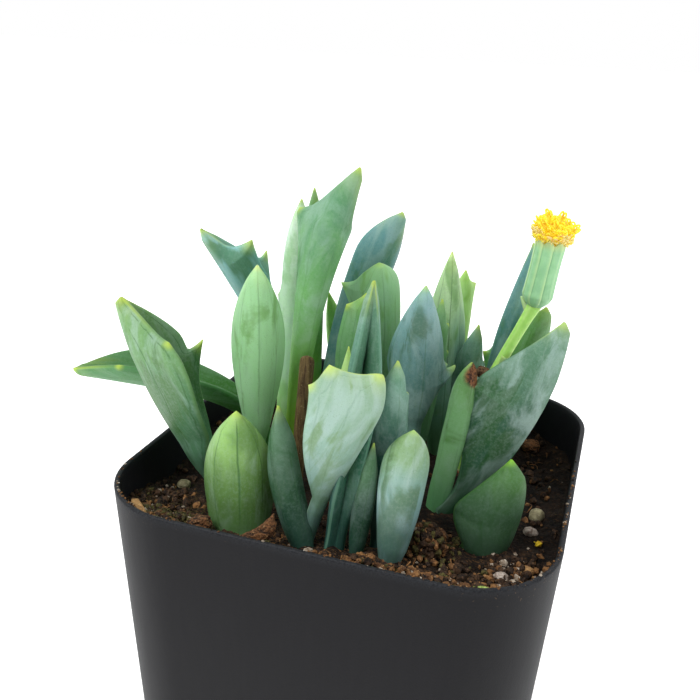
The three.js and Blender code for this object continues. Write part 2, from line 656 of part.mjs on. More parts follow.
// The involucre: a ribbed cup of pressed bracts, with a pointed tip over each rib.
function involucreSolid() {
  const { length } = headFrame;
  const rings = HEAD.profile.map(([share, radius]) => {
    const tip = share === 1 ? HEAD.tipHeight : 0;
    return headRing(share * length, radius, HEAD.ribDepth, tip);
  });
  rings.push(headRing(length - HEAD.tipHeight, HEAD.cupRadius + HEAD.lip, 0, HEAD.tipHeight));
  rings.push(headRing(length - HEAD.cupDepth, HEAD.cupRadius, 0, 0));
  return loft(rings, headPoint(-HEAD.bottomDrop, 0, 0), headPoint(length - HEAD.cupDepth, 0, 0));
}

// The round stalk, or with grow its hole, which also reaches below its cut end.
function stalkTube(grow = 0) {
  const radius = STALK.radius + grow;
  const points = STALK.route.map((point) => new THREE.Vector3(...point));
  points[0].z -= grow;
  const route = new THREE.CatmullRomCurve3(points);
  const outline = Array.from({ length: STALK.sides }, (_, i) => {
    const angle = (i / STALK.sides) * 2 * Math.PI;
    return new THREE.Vector2(radius * Math.cos(angle), radius * Math.sin(angle));
  });
  const geometry = new THREE.ExtrudeGeometry(new THREE.Shape(outline), {
    steps: STALK.steps,
    extrudePath: route,
  });
  return solidFromGeometry(geometry);
}

function bractSolid() {
  const root = headPoint(...BRACT.root, radians(BRACT.angle));
  const tip = headPoint(...BRACT.tip, radians(BRACT.angle));
  return bar(root, tip, BRACT.rootRadius, BRACT.tipRadius, BRACT.sides);
}

function stalkSolid() {
  return union([stalkTube(), involucreSolid(), bractSolid()]);
}

// The florets: tubes that splay from a core in the cup, each with two curled style arms at its mouth.
function floretsSolid() {
  const { axis, side, front } = headFrame;
  const random = randomFrom(FLORETS.seed);
  const seat = headPoint(headFrame.length - HEAD.cupDepth + CLEARANCE, 0, 0);
  const heart = headPoint(headFrame.length + FLORETS.heart, 0, 0);
  const crest = headPoint(headFrame.length + FLORETS.coreRise, 0, 0);
  const parts = [bar(seat, crest, FLORETS.coreRadius, FLORETS.coreRadius, FLORETS.coreSides)];
  const goldenAngle = Math.PI * (3 - Math.sqrt(5));
  for (let i = 0; i < FLORETS.count; i++) {
    const tilt = radians(FLORETS.splay) * Math.sqrt((i + 1) / FLORETS.count);
    const angle = i * goldenAngle;
    const out = side.clone().multiplyScalar(Math.cos(angle)).addScaledVector(front, Math.sin(angle));
    const along = axis.clone().multiplyScalar(Math.cos(tilt)).addScaledVector(out, Math.sin(tilt));
    const length = THREE.MathUtils.lerp(...FLORETS.length, random());
    const mouth = heart.clone().addScaledVector(along, length);
    const root = heart.clone().addScaledVector(along, FLORETS.rootDepth);
    parts.push(bar(root, mouth, FLORETS.tubeRadius, FLORETS.mouthRadius, FLORETS.sides));
    const split = along.clone().cross(axis.clone().addScaledVector(side, random()).normalize()).normalize();
    const armMiddle = mouth.clone().addScaledVector(along, -FLORETS.armDrop);
    const armLeft = armMiddle.clone().addScaledVector(split, -FLORETS.armSpread);
    const armRight = armMiddle.clone().addScaledVector(split, FLORETS.armSpread);
    parts.push(bar(armLeft, armRight, FLORETS.armRadius, FLORETS.armRadius, FLORETS.armSides));
  }
  return union(parts);
}

// Bits

// An irregular pebble, chip or crumb, or with grow the hollow that it lies in.
function bitSolid(centre, size, turn, seed, grow = 0) {
  const geometry = new THREE.IcosahedronGeometry(1, 0);
  geometry.deleteAttribute("normal");
  geometry.deleteAttribute("uv");
  const merged = mergeVertices(geometry, 1e-4);
  const random = randomFrom(seed);
  const scale = new THREE.Vector3(...size).addScalar(grow);
  const corners = merged.attributes.position;
  for (let i = 0; i < corners.count; i++) {
    const corner = new THREE.Vector3().fromBufferAttribute(corners, i).multiply(scale);
    corner.multiplyScalar(1 + BIT_NOISE * (2 * random() - 1));
    corners.setXYZ(i, corner.x, corner.y, corner.z);
  }
  merged.applyMatrix4(new THREE.Matrix4().makeRotationFromEuler(new THREE.Euler(...turn.map(radians))));
  merged.translate(...centre);
  return solidFromGeometry(merged);
}

function groundBit(bit, seed, grow = 0) {
  const [x, y] = bit.at;
  return bitSolid([x, y, soilHeight(x, y) + bit.rise], bit.size, bit.turn, seed, grow);
}

// Assembly

const plant = new THREE.Group();
plant.name = "potted_spearhead_senecio";

const stems = Object.entries(STEMS);
const bits = Object.entries(BITS);
const holes = [
  ...stems.map(([, stem]) => stemSolid(stem, CLEARANCE)),
  leafSolid(DRY_LEAF, DRY_LEAF.at, CLEARANCE),
  stalkTube(CLEARANCE),
  ...bits.map(([, bit], i) => groundBit(bit, i + 1, CLEARANCE)),
];

plant.add(meshOf("pot", potSolid(), LOOKS.pot));
plant.add(meshOf("soil", largestBody(soilSolid().subtract(union(holes))), LOOKS.soil));
for (const [name, stem] of stems) {
  plant.add(meshOf(name, stemSolid(stem), LOOKS.leaf));
}
plant.add(meshOf("dry_leaf", leafSolid(DRY_LEAF, DRY_LEAF.at), LOOKS.dry));
plant.add(meshOf("flower_stalk", stalkSolid(), LOOKS.stalk));
plant.add(meshOf("florets", floretsSolid(), LOOKS.floret));
for (const [i, bud] of WITHERED_BUDS.entries()) {
  const solid = bitSolid(bud.at, bud.size, bud.turn, i + bits.length, 0);
  plant.add(meshOf(bud.name, solid, LOOKS.dry));
}
for (const [i, [name, bit]] of bits.entries()) {
  plant.add(meshOf(name, groundBit(bit, i + 1), LOOKS[bit.kind]));
}

export default plant;
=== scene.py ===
"""Potted spearhead senecio: folded, spear-shaped leaves and one yellow flower head in a square nursery pot.

The dataclasses hold real sizes in millimetres, and every mesh is made in metres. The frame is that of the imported
model: +Z up, the origin at the centre of the pot's flat base, the pot's sides along X and Y.
"""

import logging
from collections.abc import Iterator, Sequence
from dataclasses import dataclass
from enum import Enum
from functools import reduce
from math import atan2, cos, exp, hypot, pi, radians, sin, sqrt
from random import Random

import bmesh
import bpy
import numpy as np
from mathutils import Matrix, Vector, noise


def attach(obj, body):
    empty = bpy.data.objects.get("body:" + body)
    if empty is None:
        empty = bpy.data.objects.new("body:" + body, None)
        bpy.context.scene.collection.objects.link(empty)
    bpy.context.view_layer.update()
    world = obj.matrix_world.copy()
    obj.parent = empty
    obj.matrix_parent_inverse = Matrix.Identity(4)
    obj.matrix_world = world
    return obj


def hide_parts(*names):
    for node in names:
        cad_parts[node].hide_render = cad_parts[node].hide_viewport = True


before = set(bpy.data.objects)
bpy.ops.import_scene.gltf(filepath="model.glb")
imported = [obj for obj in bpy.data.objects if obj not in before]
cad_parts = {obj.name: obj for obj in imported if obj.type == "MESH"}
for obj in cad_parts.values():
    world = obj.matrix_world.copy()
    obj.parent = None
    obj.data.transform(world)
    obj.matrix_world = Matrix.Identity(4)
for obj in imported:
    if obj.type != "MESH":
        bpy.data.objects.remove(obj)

LOG = logging.getLogger("senecio")
METRES = 0.001  # metres in a millimetre
GOLDEN_ANGLE = pi * (3 - sqrt(5))
FRACTAL_FALL, FRACTAL_STEP = 0.9, 2.1  # how much weaker and how much finer each layer of an unevenness is

Point = tuple[float, float, float]
Spot = tuple[float, float]
Array = np.ndarray
Thing = bpy.types.Object
Material = bpy.types.Material
Socket = bpy.types.NodeSocket


# Helpers for shapes


def point(*xyz: float) -> Array:
    """A point or direction as an array of numbers."""
    return np.array(xyz, float)


def unit(vector: Array) -> Array:
    """The direction of a vector, or of each row of an array of vectors."""
    return vector / np.linalg.norm(vector, axis=-1, keepdims=True)


def heading(degrees: float, lift: float = 0.0) -> Array:
    """A direction on the compass of the pot.

    Args:
        degrees: Turn from +X towards +Y.
        lift: Angle above the level, in degrees.

    Returns:
        The unit direction.
    """
    turn, rise = radians(degrees), radians(lift)
    return point(cos(turn) * cos(rise), sin(turn) * cos(rise), sin(rise))


def seeded(seed: int) -> Iterator[float]:
    """An endless row of numbers from 0 to 1, the same row that the solid model takes for that seed.

    Args:
        seed: Where the row starts.

    Yields:
        The next number.
    """
    full = 0xFFFFFFFF  # 32 bits
    state = seed & full
    while True:
        state = (state + 0x6D2B79F5) & full
        mixed = (state ^ (state >> 15)) * (1 | state) & full
        mixed = (mixed + (mixed ^ (mixed >> 7)) * (61 | mixed)) & full ^ mixed
        yield ((mixed ^ (mixed >> 14)) & full) / (full + 1)


def relief(where: Array, size: float, octaves: int = 3, seed: float = 0.0) -> Array:
    """Fractal unevenness at each of many points.

    Args:
        where: Points in millimetres, one a row.
        size: Size of the largest lumps in millimetres.
        octaves: How many finer layers are added.
        seed: Shifts the pattern.

    Returns:
        A value from about -1 to 1 for each point.
    """
    scaled = where / size + seed
    return np.array([noise.fractal(Vector(row), FRACTAL_FALL, FRACTAL_STEP, octaves) for row in scaled])


def ball(detail: int) -> tuple[Array, Array]:
    """The corners and faces of an even ball of radius 1.

    Args:
        detail: How often its faces are divided.

    Returns:
        Its corners, and its three-cornered faces.
    """
    mesh = bmesh.new()
    bmesh.ops.create_icosphere(mesh, subdivisions=detail, radius=1)
    corners = np.array([v.co[:] for v in mesh.verts], float)
    faces = np.array([[v.index for v in f.verts] for f in mesh.faces])
    mesh.free()
    return corners, faces


def smooth_route(stops: Sequence[Point], count: int) -> Array:
    """Points on a smooth curve through some stops.

    Args:
        stops: The stops, in order.
        count: How many points are made.

    Returns:
        The points, one a row.
    """
    given = np.array(stops, float)
    padded = np.vstack([2 * given[0] - given[1], given, 2 * given[-1] - given[-2]])
    made = []
    for place in np.linspace(0, len(given) - 1, count):
        i = min(int(place), len(given) - 2)
        a, b, c, d = padded[i : i + 4]
        t = place - i
        second, third = 2 * a - 5 * b + 4 * c - d, 3 * b - a - 3 * c + d
        made.append(0.5 * (2 * b + (c - a) * t + second * t * t + third * t**3))
    return np.array(made)


def tube_rings(route: Array, radii: Sequence[float], sides: int, flat: float = 1.0) -> Array:
    """Rings of points round a route.

    Args:
        route: The points of the route.
        radii: The radius at each of them.
        sides: Points in a ring.
        flat: Thickness of the section across, as a share of its width.

    Returns:
        The rings, as an array of rings by sides by 3.
    """
    along = unit(np.gradient(route, axis=0))
    side = unit(np.cross(along[0], point(0.3, 0.7, 0.64)))
    rings = []
    turns = np.arange(sides) / sides * 2 * pi
    for middle, forward, radius in zip(route, along, radii):
        side = unit(side - forward * (side @ forward))
        other = np.cross(forward, side)
        circle = np.outer(np.cos(turns), side) + np.outer(np.sin(turns), other) * flat
        rings.append(middle + radius * circle)
    return np.array(rings)


class Shell:
    """The skin of one piece while it is being made, in millimetres, with marks that its finish reads."""

    def __init__(self) -> None:
        """Starts with nothing."""
        self.corners: list[Array] = []
        self.faces: list[tuple[int, ...]] = []
        self.finish_of: list[int] = []
        self.marks: dict[str, list[Array]] = {}
        self.count = 0

    def add(self, corners: Array, faces: Sequence[Sequence[int]], finish: int = 0, **marks: Array) -> None:
        """Adds a closed surface.

        Args:
            corners: Its corners.
            faces: Its faces, as numbers of its corners.
            finish: Which of the piece's finishes it has.
            **marks: Three numbers a corner, under the name that the finish knows.
        """
        start = self.count
        self.corners.append(corners)
        self.count += len(corners)
        self.faces.extend(tuple(int(i) + start for i in face) for face in faces)
        self.finish_of.extend([finish] * len(faces))
        for name, values in marks.items():
            self.marks.setdefault(name, [np.zeros((start, 3))] if start else []).append(values)
        for name, kept in self.marks.items():
            if name not in marks:
                kept.append(np.zeros((len(corners), 3)))

    def loft(self, rings: Array, ends: tuple[Array, Array], finish: int = 0, **marks: Array) -> None:
        """Adds a closed surface through rings of as many points each, which closes on a point at either end.

        Args:
            rings: The rings, anticlockwise seen from the far end.
            ends: The points at the start and at the far end.
            finish: Which of the piece's finishes it has.
            **marks: Three numbers for each point of the rings.
        """
        many, count = rings.shape[:2]
        corners = np.vstack([rings.reshape(-1, 3), *ends])
        start, far = len(corners) - 2, len(corners) - 1
        last = (many - 1) * count
        faces: list[tuple[int, ...]] = []
        for j in range(count):
            following = (j + 1) % count
            faces += [(i + j, i + following, i + count + following, i + count + j) for i in range(0, last, count)]
            faces += [(start, following, j), (far, last + j, last + following)]
        spread = {n: np.vstack([v.reshape(-1, 3), v[0].mean(0), v[-1].mean(0)]) for n, v in marks.items()}
        self.add(corners, faces, finish, **spread)

    def tube(self, route: Array, radii: Sequence[float], sides: int, finish: int = 0, flat: float = 1.0) -> None:
        """Adds a round or flattened bar along a route.

        Args:
            route: The points of the route.
            radii: The radius at each of them.
            sides: Points in a ring.
            finish: Which of the piece's finishes it has.
            flat: Thickness of its section, as a share of its width.
        """
        rings = tube_rings(route, radii, sides, flat)
        self.loft(rings, (route[0], route[-1]), finish)

    def piece(
        self, name: str, finishes: Sequence[Material], slot: str, nodes: Sequence[str] = (), smooth: bool = True
    ) -> Thing:
        """Makes the object and hands it to the frame.

        Args:
            name: Its name.
            finishes: Its materials, in the order that the faces count them.
            slot: Not used.
            nodes: The solids that it stands for.
            smooth: Whether its faces run into each other.

        Returns:
            The object.
        """
        mesh = bpy.data.meshes.new(name)
        mesh.from_pydata((np.vstack(self.corners) * METRES).tolist(), [], self.faces)
        for mark, values in self.marks.items():
            layer = mesh.attributes.new(mark, "FLOAT_VECTOR", "POINT")
            layer.data.foreach_set("vector", np.vstack(values).astype(np.float32).ravel())
        for material in finishes:
            mesh.materials.append(material)
        mesh.polygons.foreach_set("material_index", self.finish_of)
        mesh.polygons.foreach_set("use_smooth", [smooth] * len(mesh.polygons))
        work = bmesh.new()
        work.from_mesh(mesh)
        bmesh.ops.recalc_face_normals(work, faces=work.faces)
        work.to_mesh(mesh)
        work.free()
        made = bpy.data.objects.new(name, mesh)
        bpy.context.scene.collection.objects.link(made)
        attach(made, "root")
        if nodes:
            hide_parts(*nodes)
        LOG.info("%s: %d faces", name, len(mesh.polygons))
        return made


# Finishes


@dataclass(frozen=True)
class Paint:
    """A colour as the eye names it, red, green and blue from 0 to 255."""

    red: int
    green: int
    blue: int

    def light(self) -> tuple[float, float, float, float]:
        """The colour as amounts of light: red, green, blue and full cover, each from 0 to 1."""
        shares = [part / 255 for part in (self.red, self.green, self.blue)]
        return (*(s / 12.92 if s <= 0.04045 else ((s + 0.055) / 1.055) ** 2.4 for s in shares), 1.0)


class Recipe:
    """A material that is put together from nodes."""

    def __init__(self, name: str) -> None:
        """Starts a material with one plain shader.

        Args:
            name: The name of the material.
        """
        self.material = bpy.data.materials.new(name)
        self.material.use_nodes = True
        self.tree = self.material.node_tree
        self.tree.nodes.clear()
        self.shader = self.tree.nodes.new("ShaderNodeBsdfPrincipled")
        output = self.tree.nodes.new("ShaderNodeOutputMaterial")
        self.tree.links.new(self.shader.outputs[0], output.inputs["Surface"])
        self.where = self.scaled(self.node("ShaderNodeTexCoord", {}, "Object"), 1 / METRES)

    def feed(self, socket: Socket, value: object) -> None:
        """Links an output to a socket, or sets the socket to a plain value.

        Args:
            socket: The socket.
            value: An output of another node, a colour or a number.
        """
        if isinstance(value, Socket):
            self.tree.links.new(value, socket)
        else:
            socket.default_value = value.light() if isinstance(value, Paint) else value

    def node(self, kind: str, inputs: dict[int | str, object], output: int | str = 0, **settings: object) -> Socket:
        """Adds a node.

        Args:
            kind: Its type in Blender.
            inputs: What its sockets are fed.
            output: Which of its outputs is wanted.
            **settings: Some of its settings.

        Returns:
            That output.
        """
        made = self.tree.nodes.new(kind)
        for name, value in settings.items():
            setattr(made, name, value)
        for place, value in inputs.items():
            self.feed(made.inputs[place], value)
        return made.outputs[output]

    def scaled(self, vector: Socket, factor: float | Point) -> Socket:
        """A vector times one number, or times one for each axis."""
        by = factor if isinstance(factor, tuple) else (factor, factor, factor)
        return self.node("ShaderNodeVectorMath", {0: vector, 1: by}, operation="MULTIPLY")

    def parts(self, mark: str) -> tuple[Socket, Socket, Socket]:
        """The three numbers of a mark that the mesh carries."""
        read = self.node("ShaderNodeAttribute", {}, "Vector", attribute_name=mark)
        return tuple(self.node("ShaderNodeSeparateXYZ", {0: read}).node.outputs)

    def joined(self, x: object, y: object, z: object) -> Socket:
        """A vector of three numbers."""
        return self.node("ShaderNodeCombineXYZ", {0: x, 1: y, 2: z})

    def math(self, operation: str, first: object, second: object = 0.0, clamp: bool = False) -> Socket:
        """One step of arithmetic, by its name in Blender, whose result may be kept from 0 to 1."""
        return self.node("ShaderNodeMath", {0: first, 1: second}, operation=operation, use_clamp=clamp)

    def times(self, first: object, second: object, clamp: bool = False) -> Socket:
        """One number times another."""
        return self.math("MULTIPLY", first, second, clamp)

    def minus(self, first: object, second: object) -> Socket:
        """One number less another."""
        return self.math("SUBTRACT", first, second)

    def plus(self, *numbers: object) -> Socket:
        """The sum of some numbers."""
        return reduce(lambda total, number: self.math("ADD", total, number), numbers)

    def grain(
        self, vector: Socket, scale: float, detail: float = 2.0, twist: float = 0.0, rough: float = 0.5
    ) -> Socket:
        """Cloudy noise.

        Args:
            vector: Where it is read.
            scale: Lumps in a unit of that vector.
            detail: How many finer layers are added.
            twist: How far it is swirled.
            rough: How strong the finer layers are.

        Returns:
            A number from 0 to 1, mostly near a half.
        """
        inputs = {"Vector": vector, "Scale": scale, "Detail": detail, "Distortion": twist, "Roughness": rough}
        return self.node("ShaderNodeTexNoise", inputs, "Fac")

    def cells(self, vector: Socket, scale: float) -> Socket:
        """How far a point is from the nearest of many seeds, of which scale lie in a unit of the vector."""
        return self.node("ShaderNodeTexVoronoi", {"Vector": vector, "Scale": scale}, "Distance", feature="F1")

    def ramp(self, value: Socket, start: float, stop: float, low: float = 0.0, high: float = 1.0) -> Socket:
        """Turns a range of a value smoothly into another range.

        Args:
            value: The value that is read.
            start: Where the change starts.
            stop: Where it ends.
            low: The result up to the start.
            high: The result from the stop.

        Returns:
            The result.
        """
        inputs = {"Value": value, "From Min": start, "From Max": stop, "To Min": low, "To Max": high}
        return self.node("ShaderNodeMapRange", inputs, interpolation_type="SMOOTHSTEP", clamp=True)

    def blend(self, share: object, first: object, second: object) -> Socket:
        """Mixes two colours by a share of the second."""
        return self.node("ShaderNodeMix", {0: share, 6: first, 7: second}, 2, data_type="RGBA")

    def finish(self, colour: Socket, rough: object, height: Socket, depth: float, **constants: object) -> Material:
        """Feeds the shader.

        Args:
            colour: The colour of the surface.
            rough: How rough it is, from 0 to 1.
            height: Its fine relief, from 0 to 1.
            depth: How deep that relief is, in millimetres.
            **constants: Other settings of the shader, by their names with _ for a space.

        Returns:
            The material.
        """
        bump = self.node("ShaderNodeBump", {"Distance": depth * METRES, "Height": height})
        for socket, value in (("Normal", bump), ("Base Color", colour), ("Roughness", rough)):
            self.feed(self.shader.inputs[socket], value)
        for name, value in constants.items():
            self.shader.inputs[name.replace("_", " ")].default_value = value
        self.material.diffuse_color = (0.5, 0.5, 0.5, 1)
        return self.material


class LeafRecipe(Recipe):
    """A material that reads the marks of a leaf, with the noises, drawn out along it, that its skin is mixed from."""

    def __init__(self, name: str) -> None:
        """Starts the material, reads the marks and sets up the noises.

        Args:
            name: The name of the material.
        """
        super().__init__(name)
        self.breadth, self.place, seed = self.parts("leaf_place")
        self.across, self.along, self.face = self.parts("leaf_size")
        self.tipped, self.stained, self.scorched = self.parts("leaf_mark")
        self.shift = self.times(seed, 40.0)
        lane = self.lane(0.12)
        # Each noise has its scale and detail, then its twist and its roughness.
        self.broad = self.grain(self.lane(0.4), 0.3, 4.0, 1.2, 0.6)
        self.smear = self.grain(lane, 0.5, 3.0, 0.8, 0.55)
        self.streak = self.grain(lane, 1.2, 3.0, 0.5, 0.6)
        self.drifted = self.grain(self.lane(0.3), 0.42, 4.0, 0.9, 0.6)
        self.broken = self.grain(self.lane(0.15), 0.9, 2.0)
        self.fibre = self.grain(self.lane(0.12, 3.0), 1.6, 2.0)
        self.powder = self.grain(self.where, 2.6, 4.0, 0.0, 0.7)
        self.dust = self.grain(self.where, 7.0, 2.0)

    def lane(self, along: float, across: float = 1.0) -> Socket:
        """The place on the leaf, with as much of its length and width as is wanted, so that noise is drawn out."""
        breadth = self.across if across == 1.0 else self.times(self.across, across)
        return self.joined(breadth, self.times(self.along, along), self.shift)


@dataclass(frozen=True)
class LeafSkin:
    """The skin of a leaf: a powdery wax over green flesh, rubbed off in patches, with dark lines along it.

    high and low are the colours of the wax in the upper and the lower part of the blade, and foot is that of the
    petiole, up to foot_reach. They are set to how each leaf looks where it stands, so besides the leaf's own tones
    they carry painted light and painted shade, such as a darker painted shade on some feet. rubbed says how much
    of the wax is gone, lines how dark the lines are, and bloom how thickly pale powder lies on it.
    """

    high: Paint
    low: Paint
    flesh: Paint
    foot: Paint
    tip: Paint = Paint(188, 212, 84)
    rubbed: float = 0.4
    lines: float = 0.45
    foot_reach: float = 0.4
    bloom: float = 0.3

    PALE_WAX = Paint(190, 214, 210)
    POWDER = Paint(184, 210, 200)
    VEIN = Paint(50, 100, 48)
    FIBRE = Paint(60, 108, 62)
    CHAR = Paint(48, 26, 16)
    ASH = Paint(128, 82, 46)

    def wax(self, mix: LeafRecipe) -> Socket:
        """The colour of the wax: one above, one below, with pale drifts.

        Args:
            mix: The recipe.

        Returns:
            The colour.
        """
        uneven = mix.plus(mix.place, mix.times(mix.minus(mix.broad, 0.5), 0.5))
        colour = mix.blend(mix.ramp(uneven, 0.42, 0.95), self.low, self.high)
        return mix.blend(mix.ramp(mix.drifted, 0.42, 0.64, 0.0, self.bloom), colour, self.PALE_WAX)

    def bare(self, mix: LeafRecipe) -> Socket:
        """Where the wax is rubbed off.

        Args:
            mix: The recipe.

        Returns:
            0 where the wax is whole, and 1 where it is gone.
        """
        cloudy = mix.plus(mix.times(mix.broad, 0.45), mix.times(mix.smear, 0.55))
        worn = mix.plus(cloudy, mix.times(mix.minus(mix.powder, 0.5), 0.07), mix.times(mix.stained, 0.2))
        limit = 0.59 - 0.16 * self.rubbed
        return mix.ramp(worn, limit, limit + 0.12)

    def veins(self, mix: LeafRecipe) -> Socket:
        """The thin dark lines along the leaf, broken here and there.

        Args:
            mix: The recipe.

        Returns:
            How dark they are.
        """
        wavy = mix.plus(mix.times(mix.breadth, 2.3), mix.times(mix.streak, 0.2))
        lined = mix.ramp(mix.math("PINGPONG", wavy, 0.5), 0.0, 0.055, 0.7, 0.0)
        return mix.times(mix.times(lined, mix.ramp(mix.broken, 0.34, 0.48)), self.lines)

    def ends(self, mix: LeafRecipe, colour: Socket) -> Socket:
        """Colours the petiole, the tip, the margins, the teeth and any scorched end.

        Args:
            mix: The recipe.
            colour: The colour so far.

        Returns:
            The new colour.
        """
        # The petiole takes the foot colour; where that colour is dark, as on MINT, it is painted shade.
        colour = mix.blend(mix.ramp(mix.place, self.foot_reach, 0.05, 0.0, 0.9), colour, self.foot)
        top = mix.plus(mix.place, mix.times(mix.minus(mix.smear, 0.5), 0.2))
        colour = mix.blend(mix.ramp(top, 0.88, 1.04, 0.0, 0.3), colour, self.tip)
        # A pale margin: partly the margin's own colour, partly a painted highlight along the edge.
        edge = mix.ramp(mix.math("ABSOLUTE", mix.breadth), 0.955, 0.99, 0.0, 0.5)
        colour = mix.blend(edge, colour, mix.blend(mix.ramp(mix.place, 0.84, 1.0), self.high, self.tip))
        colour = mix.blend(mix.ramp(mix.tipped, 0.2, 1.0, 0.0, 0.85), colour, self.tip)
        char = mix.blend(mix.ramp(mix.powder, 0.4, 0.6), self.CHAR, self.ASH)
        return mix.blend(mix.ramp(mix.scorched, 0.3, 0.55), colour, char)

    def material(self, name: str) -> Material:
        """Makes the material.

        Args:
            name: Its name.

        Returns:
            The material.
        """
        mix = LeafRecipe(name)
        bare, veins = self.bare(mix), self.veins(mix)
        colour = mix.blend(mix.times(bare, 0.7), self.wax(mix), self.flesh)
        # The inner face of the channel turns half to flesh colour: partly thinner wax, partly painted shade inside the
        # fold.
        colour = mix.blend(mix.ramp(mix.face, -0.2, 0.6, 0.0, 0.5), colour, self.flesh)
        powdery = mix.ramp(mix.powder, 0.42, 0.68, 0.0, 0.25 * self.bloom + 0.04)
        colour = mix.blend(veins, mix.blend(powdery, colour, self.POWDER), self.VEIN)
        colour = mix.blend(mix.ramp(mix.fibre, 0.5, 0.75, 0.0, 0.16 * self.lines), colour, self.FIBRE)
        colour = mix.blend(mix.ramp(mix.dust, 0.6, 0.72, 0.0, 0.35), colour, self.flesh)
        raised = mix.plus(mix.times(mix.powder, 0.4), mix.times(mix.streak, 0.6), mix.times(mix.fibre, 0.3))
        return mix.finish(
            self.ends(mix, colour),
            mix.ramp(bare, 0.0, 1.0, 0.56, 0.36),
            mix.minus(raised, mix.times(veins, 0.5)),
            0.12,
            Subsurface_Weight=0.12,
            Subsurface_Radius=(0.6, 1.0, 0.35),
            Subsurface_Scale=0.0012,
            Specular_IOR_Level=0.3,
        )


class Skin(Enum):
    """The skins of the leaves."""

    # The colours carry painted light and painted shade besides the leaves' own tones: one skin is a lighter copy of
    # another, some upper colours are lit near white, and some feet are dark with painted shade.
    FRESH = LeafSkin(
        Paint(152, 198, 112), Paint(86, 124, 60), Paint(84, 126, 52), Paint(72, 106, 62),
        tip=Paint(186, 214, 90), rubbed=0.5, lines=1, bloom=0.22,
    )
    PALE = LeafSkin(
        Paint(164, 218, 158), Paint(166, 224, 160), Paint(112, 168, 82), Paint(112, 190, 92),
        tip=Paint(226, 242, 150), rubbed=0.35, bloom=0.12,
    )
    MEADOW = LeafSkin(
        Paint(122, 166, 104), Paint(82, 132, 90), Paint(66, 112, 48), Paint(120, 184, 144), rubbed=0.65, lines=0.8
    )
    SHADE = LeafSkin(Paint(90, 148, 92), Paint(66, 124, 52), Paint(52, 102, 34), Paint(66, 122, 54), bloom=0.12)
    SEA = LeafSkin(
        Paint(92, 148, 104), Paint(120, 184, 104), Paint(70, 130, 68), Paint(154, 208, 44),
        lines=0.3, foot_reach=0.56, bloom=0.25,
    )
    # Its near white colours are painted light.
    AQUA = LeafSkin(Paint(222, 248, 224), Paint(196, 240, 196), Paint(150, 210, 140), Paint(140, 194, 84), lines=0.2)
    BLUE = LeafSkin(
        Paint(104, 154, 156), Paint(84, 138, 138), Paint(72, 126, 84), Paint(100, 158, 100), lines=0.2, bloom=0.25
    )
    SKY = LeafSkin(
        Paint(136, 192, 190), Paint(118, 176, 170), Paint(80, 136, 84), Paint(100, 158, 100), lines=0.2, bloom=0.25
    )
    ZEST = LeafSkin(
        Paint(196, 240, 150), Paint(168, 222, 110), Paint(146, 204, 80), Paint(120, 180, 70), lines=0.2, bloom=0.1
    )
    LEAF = LeafSkin(Paint(108, 166, 98), Paint(86, 142, 90), Paint(62, 120, 46), Paint(56, 106, 62), bloom=0.12)
    # A lighter copy of LEAF: painted light for a leaf that stands in shade.
    HOOD = LeafSkin(
        Paint(158, 214, 158), Paint(136, 192, 138), Paint(120, 182, 88), Paint(90, 140, 92),
        tip=Paint(170, 212, 110), bloom=0.15,
    )
    LIME = LeafSkin(
        Paint(100, 152, 84), Paint(80, 132, 62), Paint(70, 118, 44), Paint(72, 120, 50), rubbed=0.5, bloom=0.12
    )
    STEEL = LeafSkin(
        Paint(136, 180, 184), Paint(82, 126, 118), Paint(54, 98, 52), Paint(84, 128, 106),
        tip=Paint(176, 214, 110), rubbed=0.5,
    )
    # Its near white upper colour is painted light.
    SAGE = LeafSkin(
        Paint(210, 244, 184), Paint(128, 180, 160), Paint(104, 160, 84), Paint(80, 126, 80),
        tip=Paint(222, 240, 130), lines=0.9, bloom=0.2,
    )
    # Its dark foot is painted shade.
    MINT = LeafSkin(
        Paint(147, 181, 152), Paint(150, 185, 173), Paint(112, 148, 92), Paint(50, 88, 76),
        tip=Paint(204, 228, 110), rubbed=0.35, lines=0.25, foot_reach=0.64, bloom=0.4,
    )
    TEAL = LeafSkin(
        Paint(106, 152, 128), Paint(42, 98, 86), Paint(44, 98, 56), Paint(26, 64, 56), lines=0.3, bloom=0.25
    )
    DUSK = LeafSkin(Paint(84, 126, 88), Paint(30, 68, 48), Paint(32, 76, 40), Paint(30, 66, 54), lines=0.4, bloom=0.12)
    SILVER = LeafSkin(
        Paint(132, 168, 112), Paint(134, 174, 174), Paint(74, 112, 64), Paint(68, 100, 94),
        tip=Paint(176, 212, 110), rubbed=0.55, lines=0.2, foot_reach=0.6, bloom=0.45,
    )
    DEEP = LeafSkin(
        Paint(66, 112, 46), Paint(56, 94, 58), Paint(44, 84, 40), Paint(48, 76, 54),
        tip=Paint(140, 200, 50), lines=0.4, bloom=0.06,
    )
    GREY = LeafSkin(
        Paint(98, 140, 112), Paint(50, 94, 68), Paint(42, 90, 36), Paint(24, 62, 34),
        tip=Paint(190, 220, 120), rubbed=0.65, lines=0.3, bloom=0.38,
    )
    OLIVE = LeafSkin(
        Paint(98, 146, 82), Paint(122, 176, 118), Paint(72, 122, 44), Paint(86, 146, 94), rubbed=0.6, bloom=0.15
    )


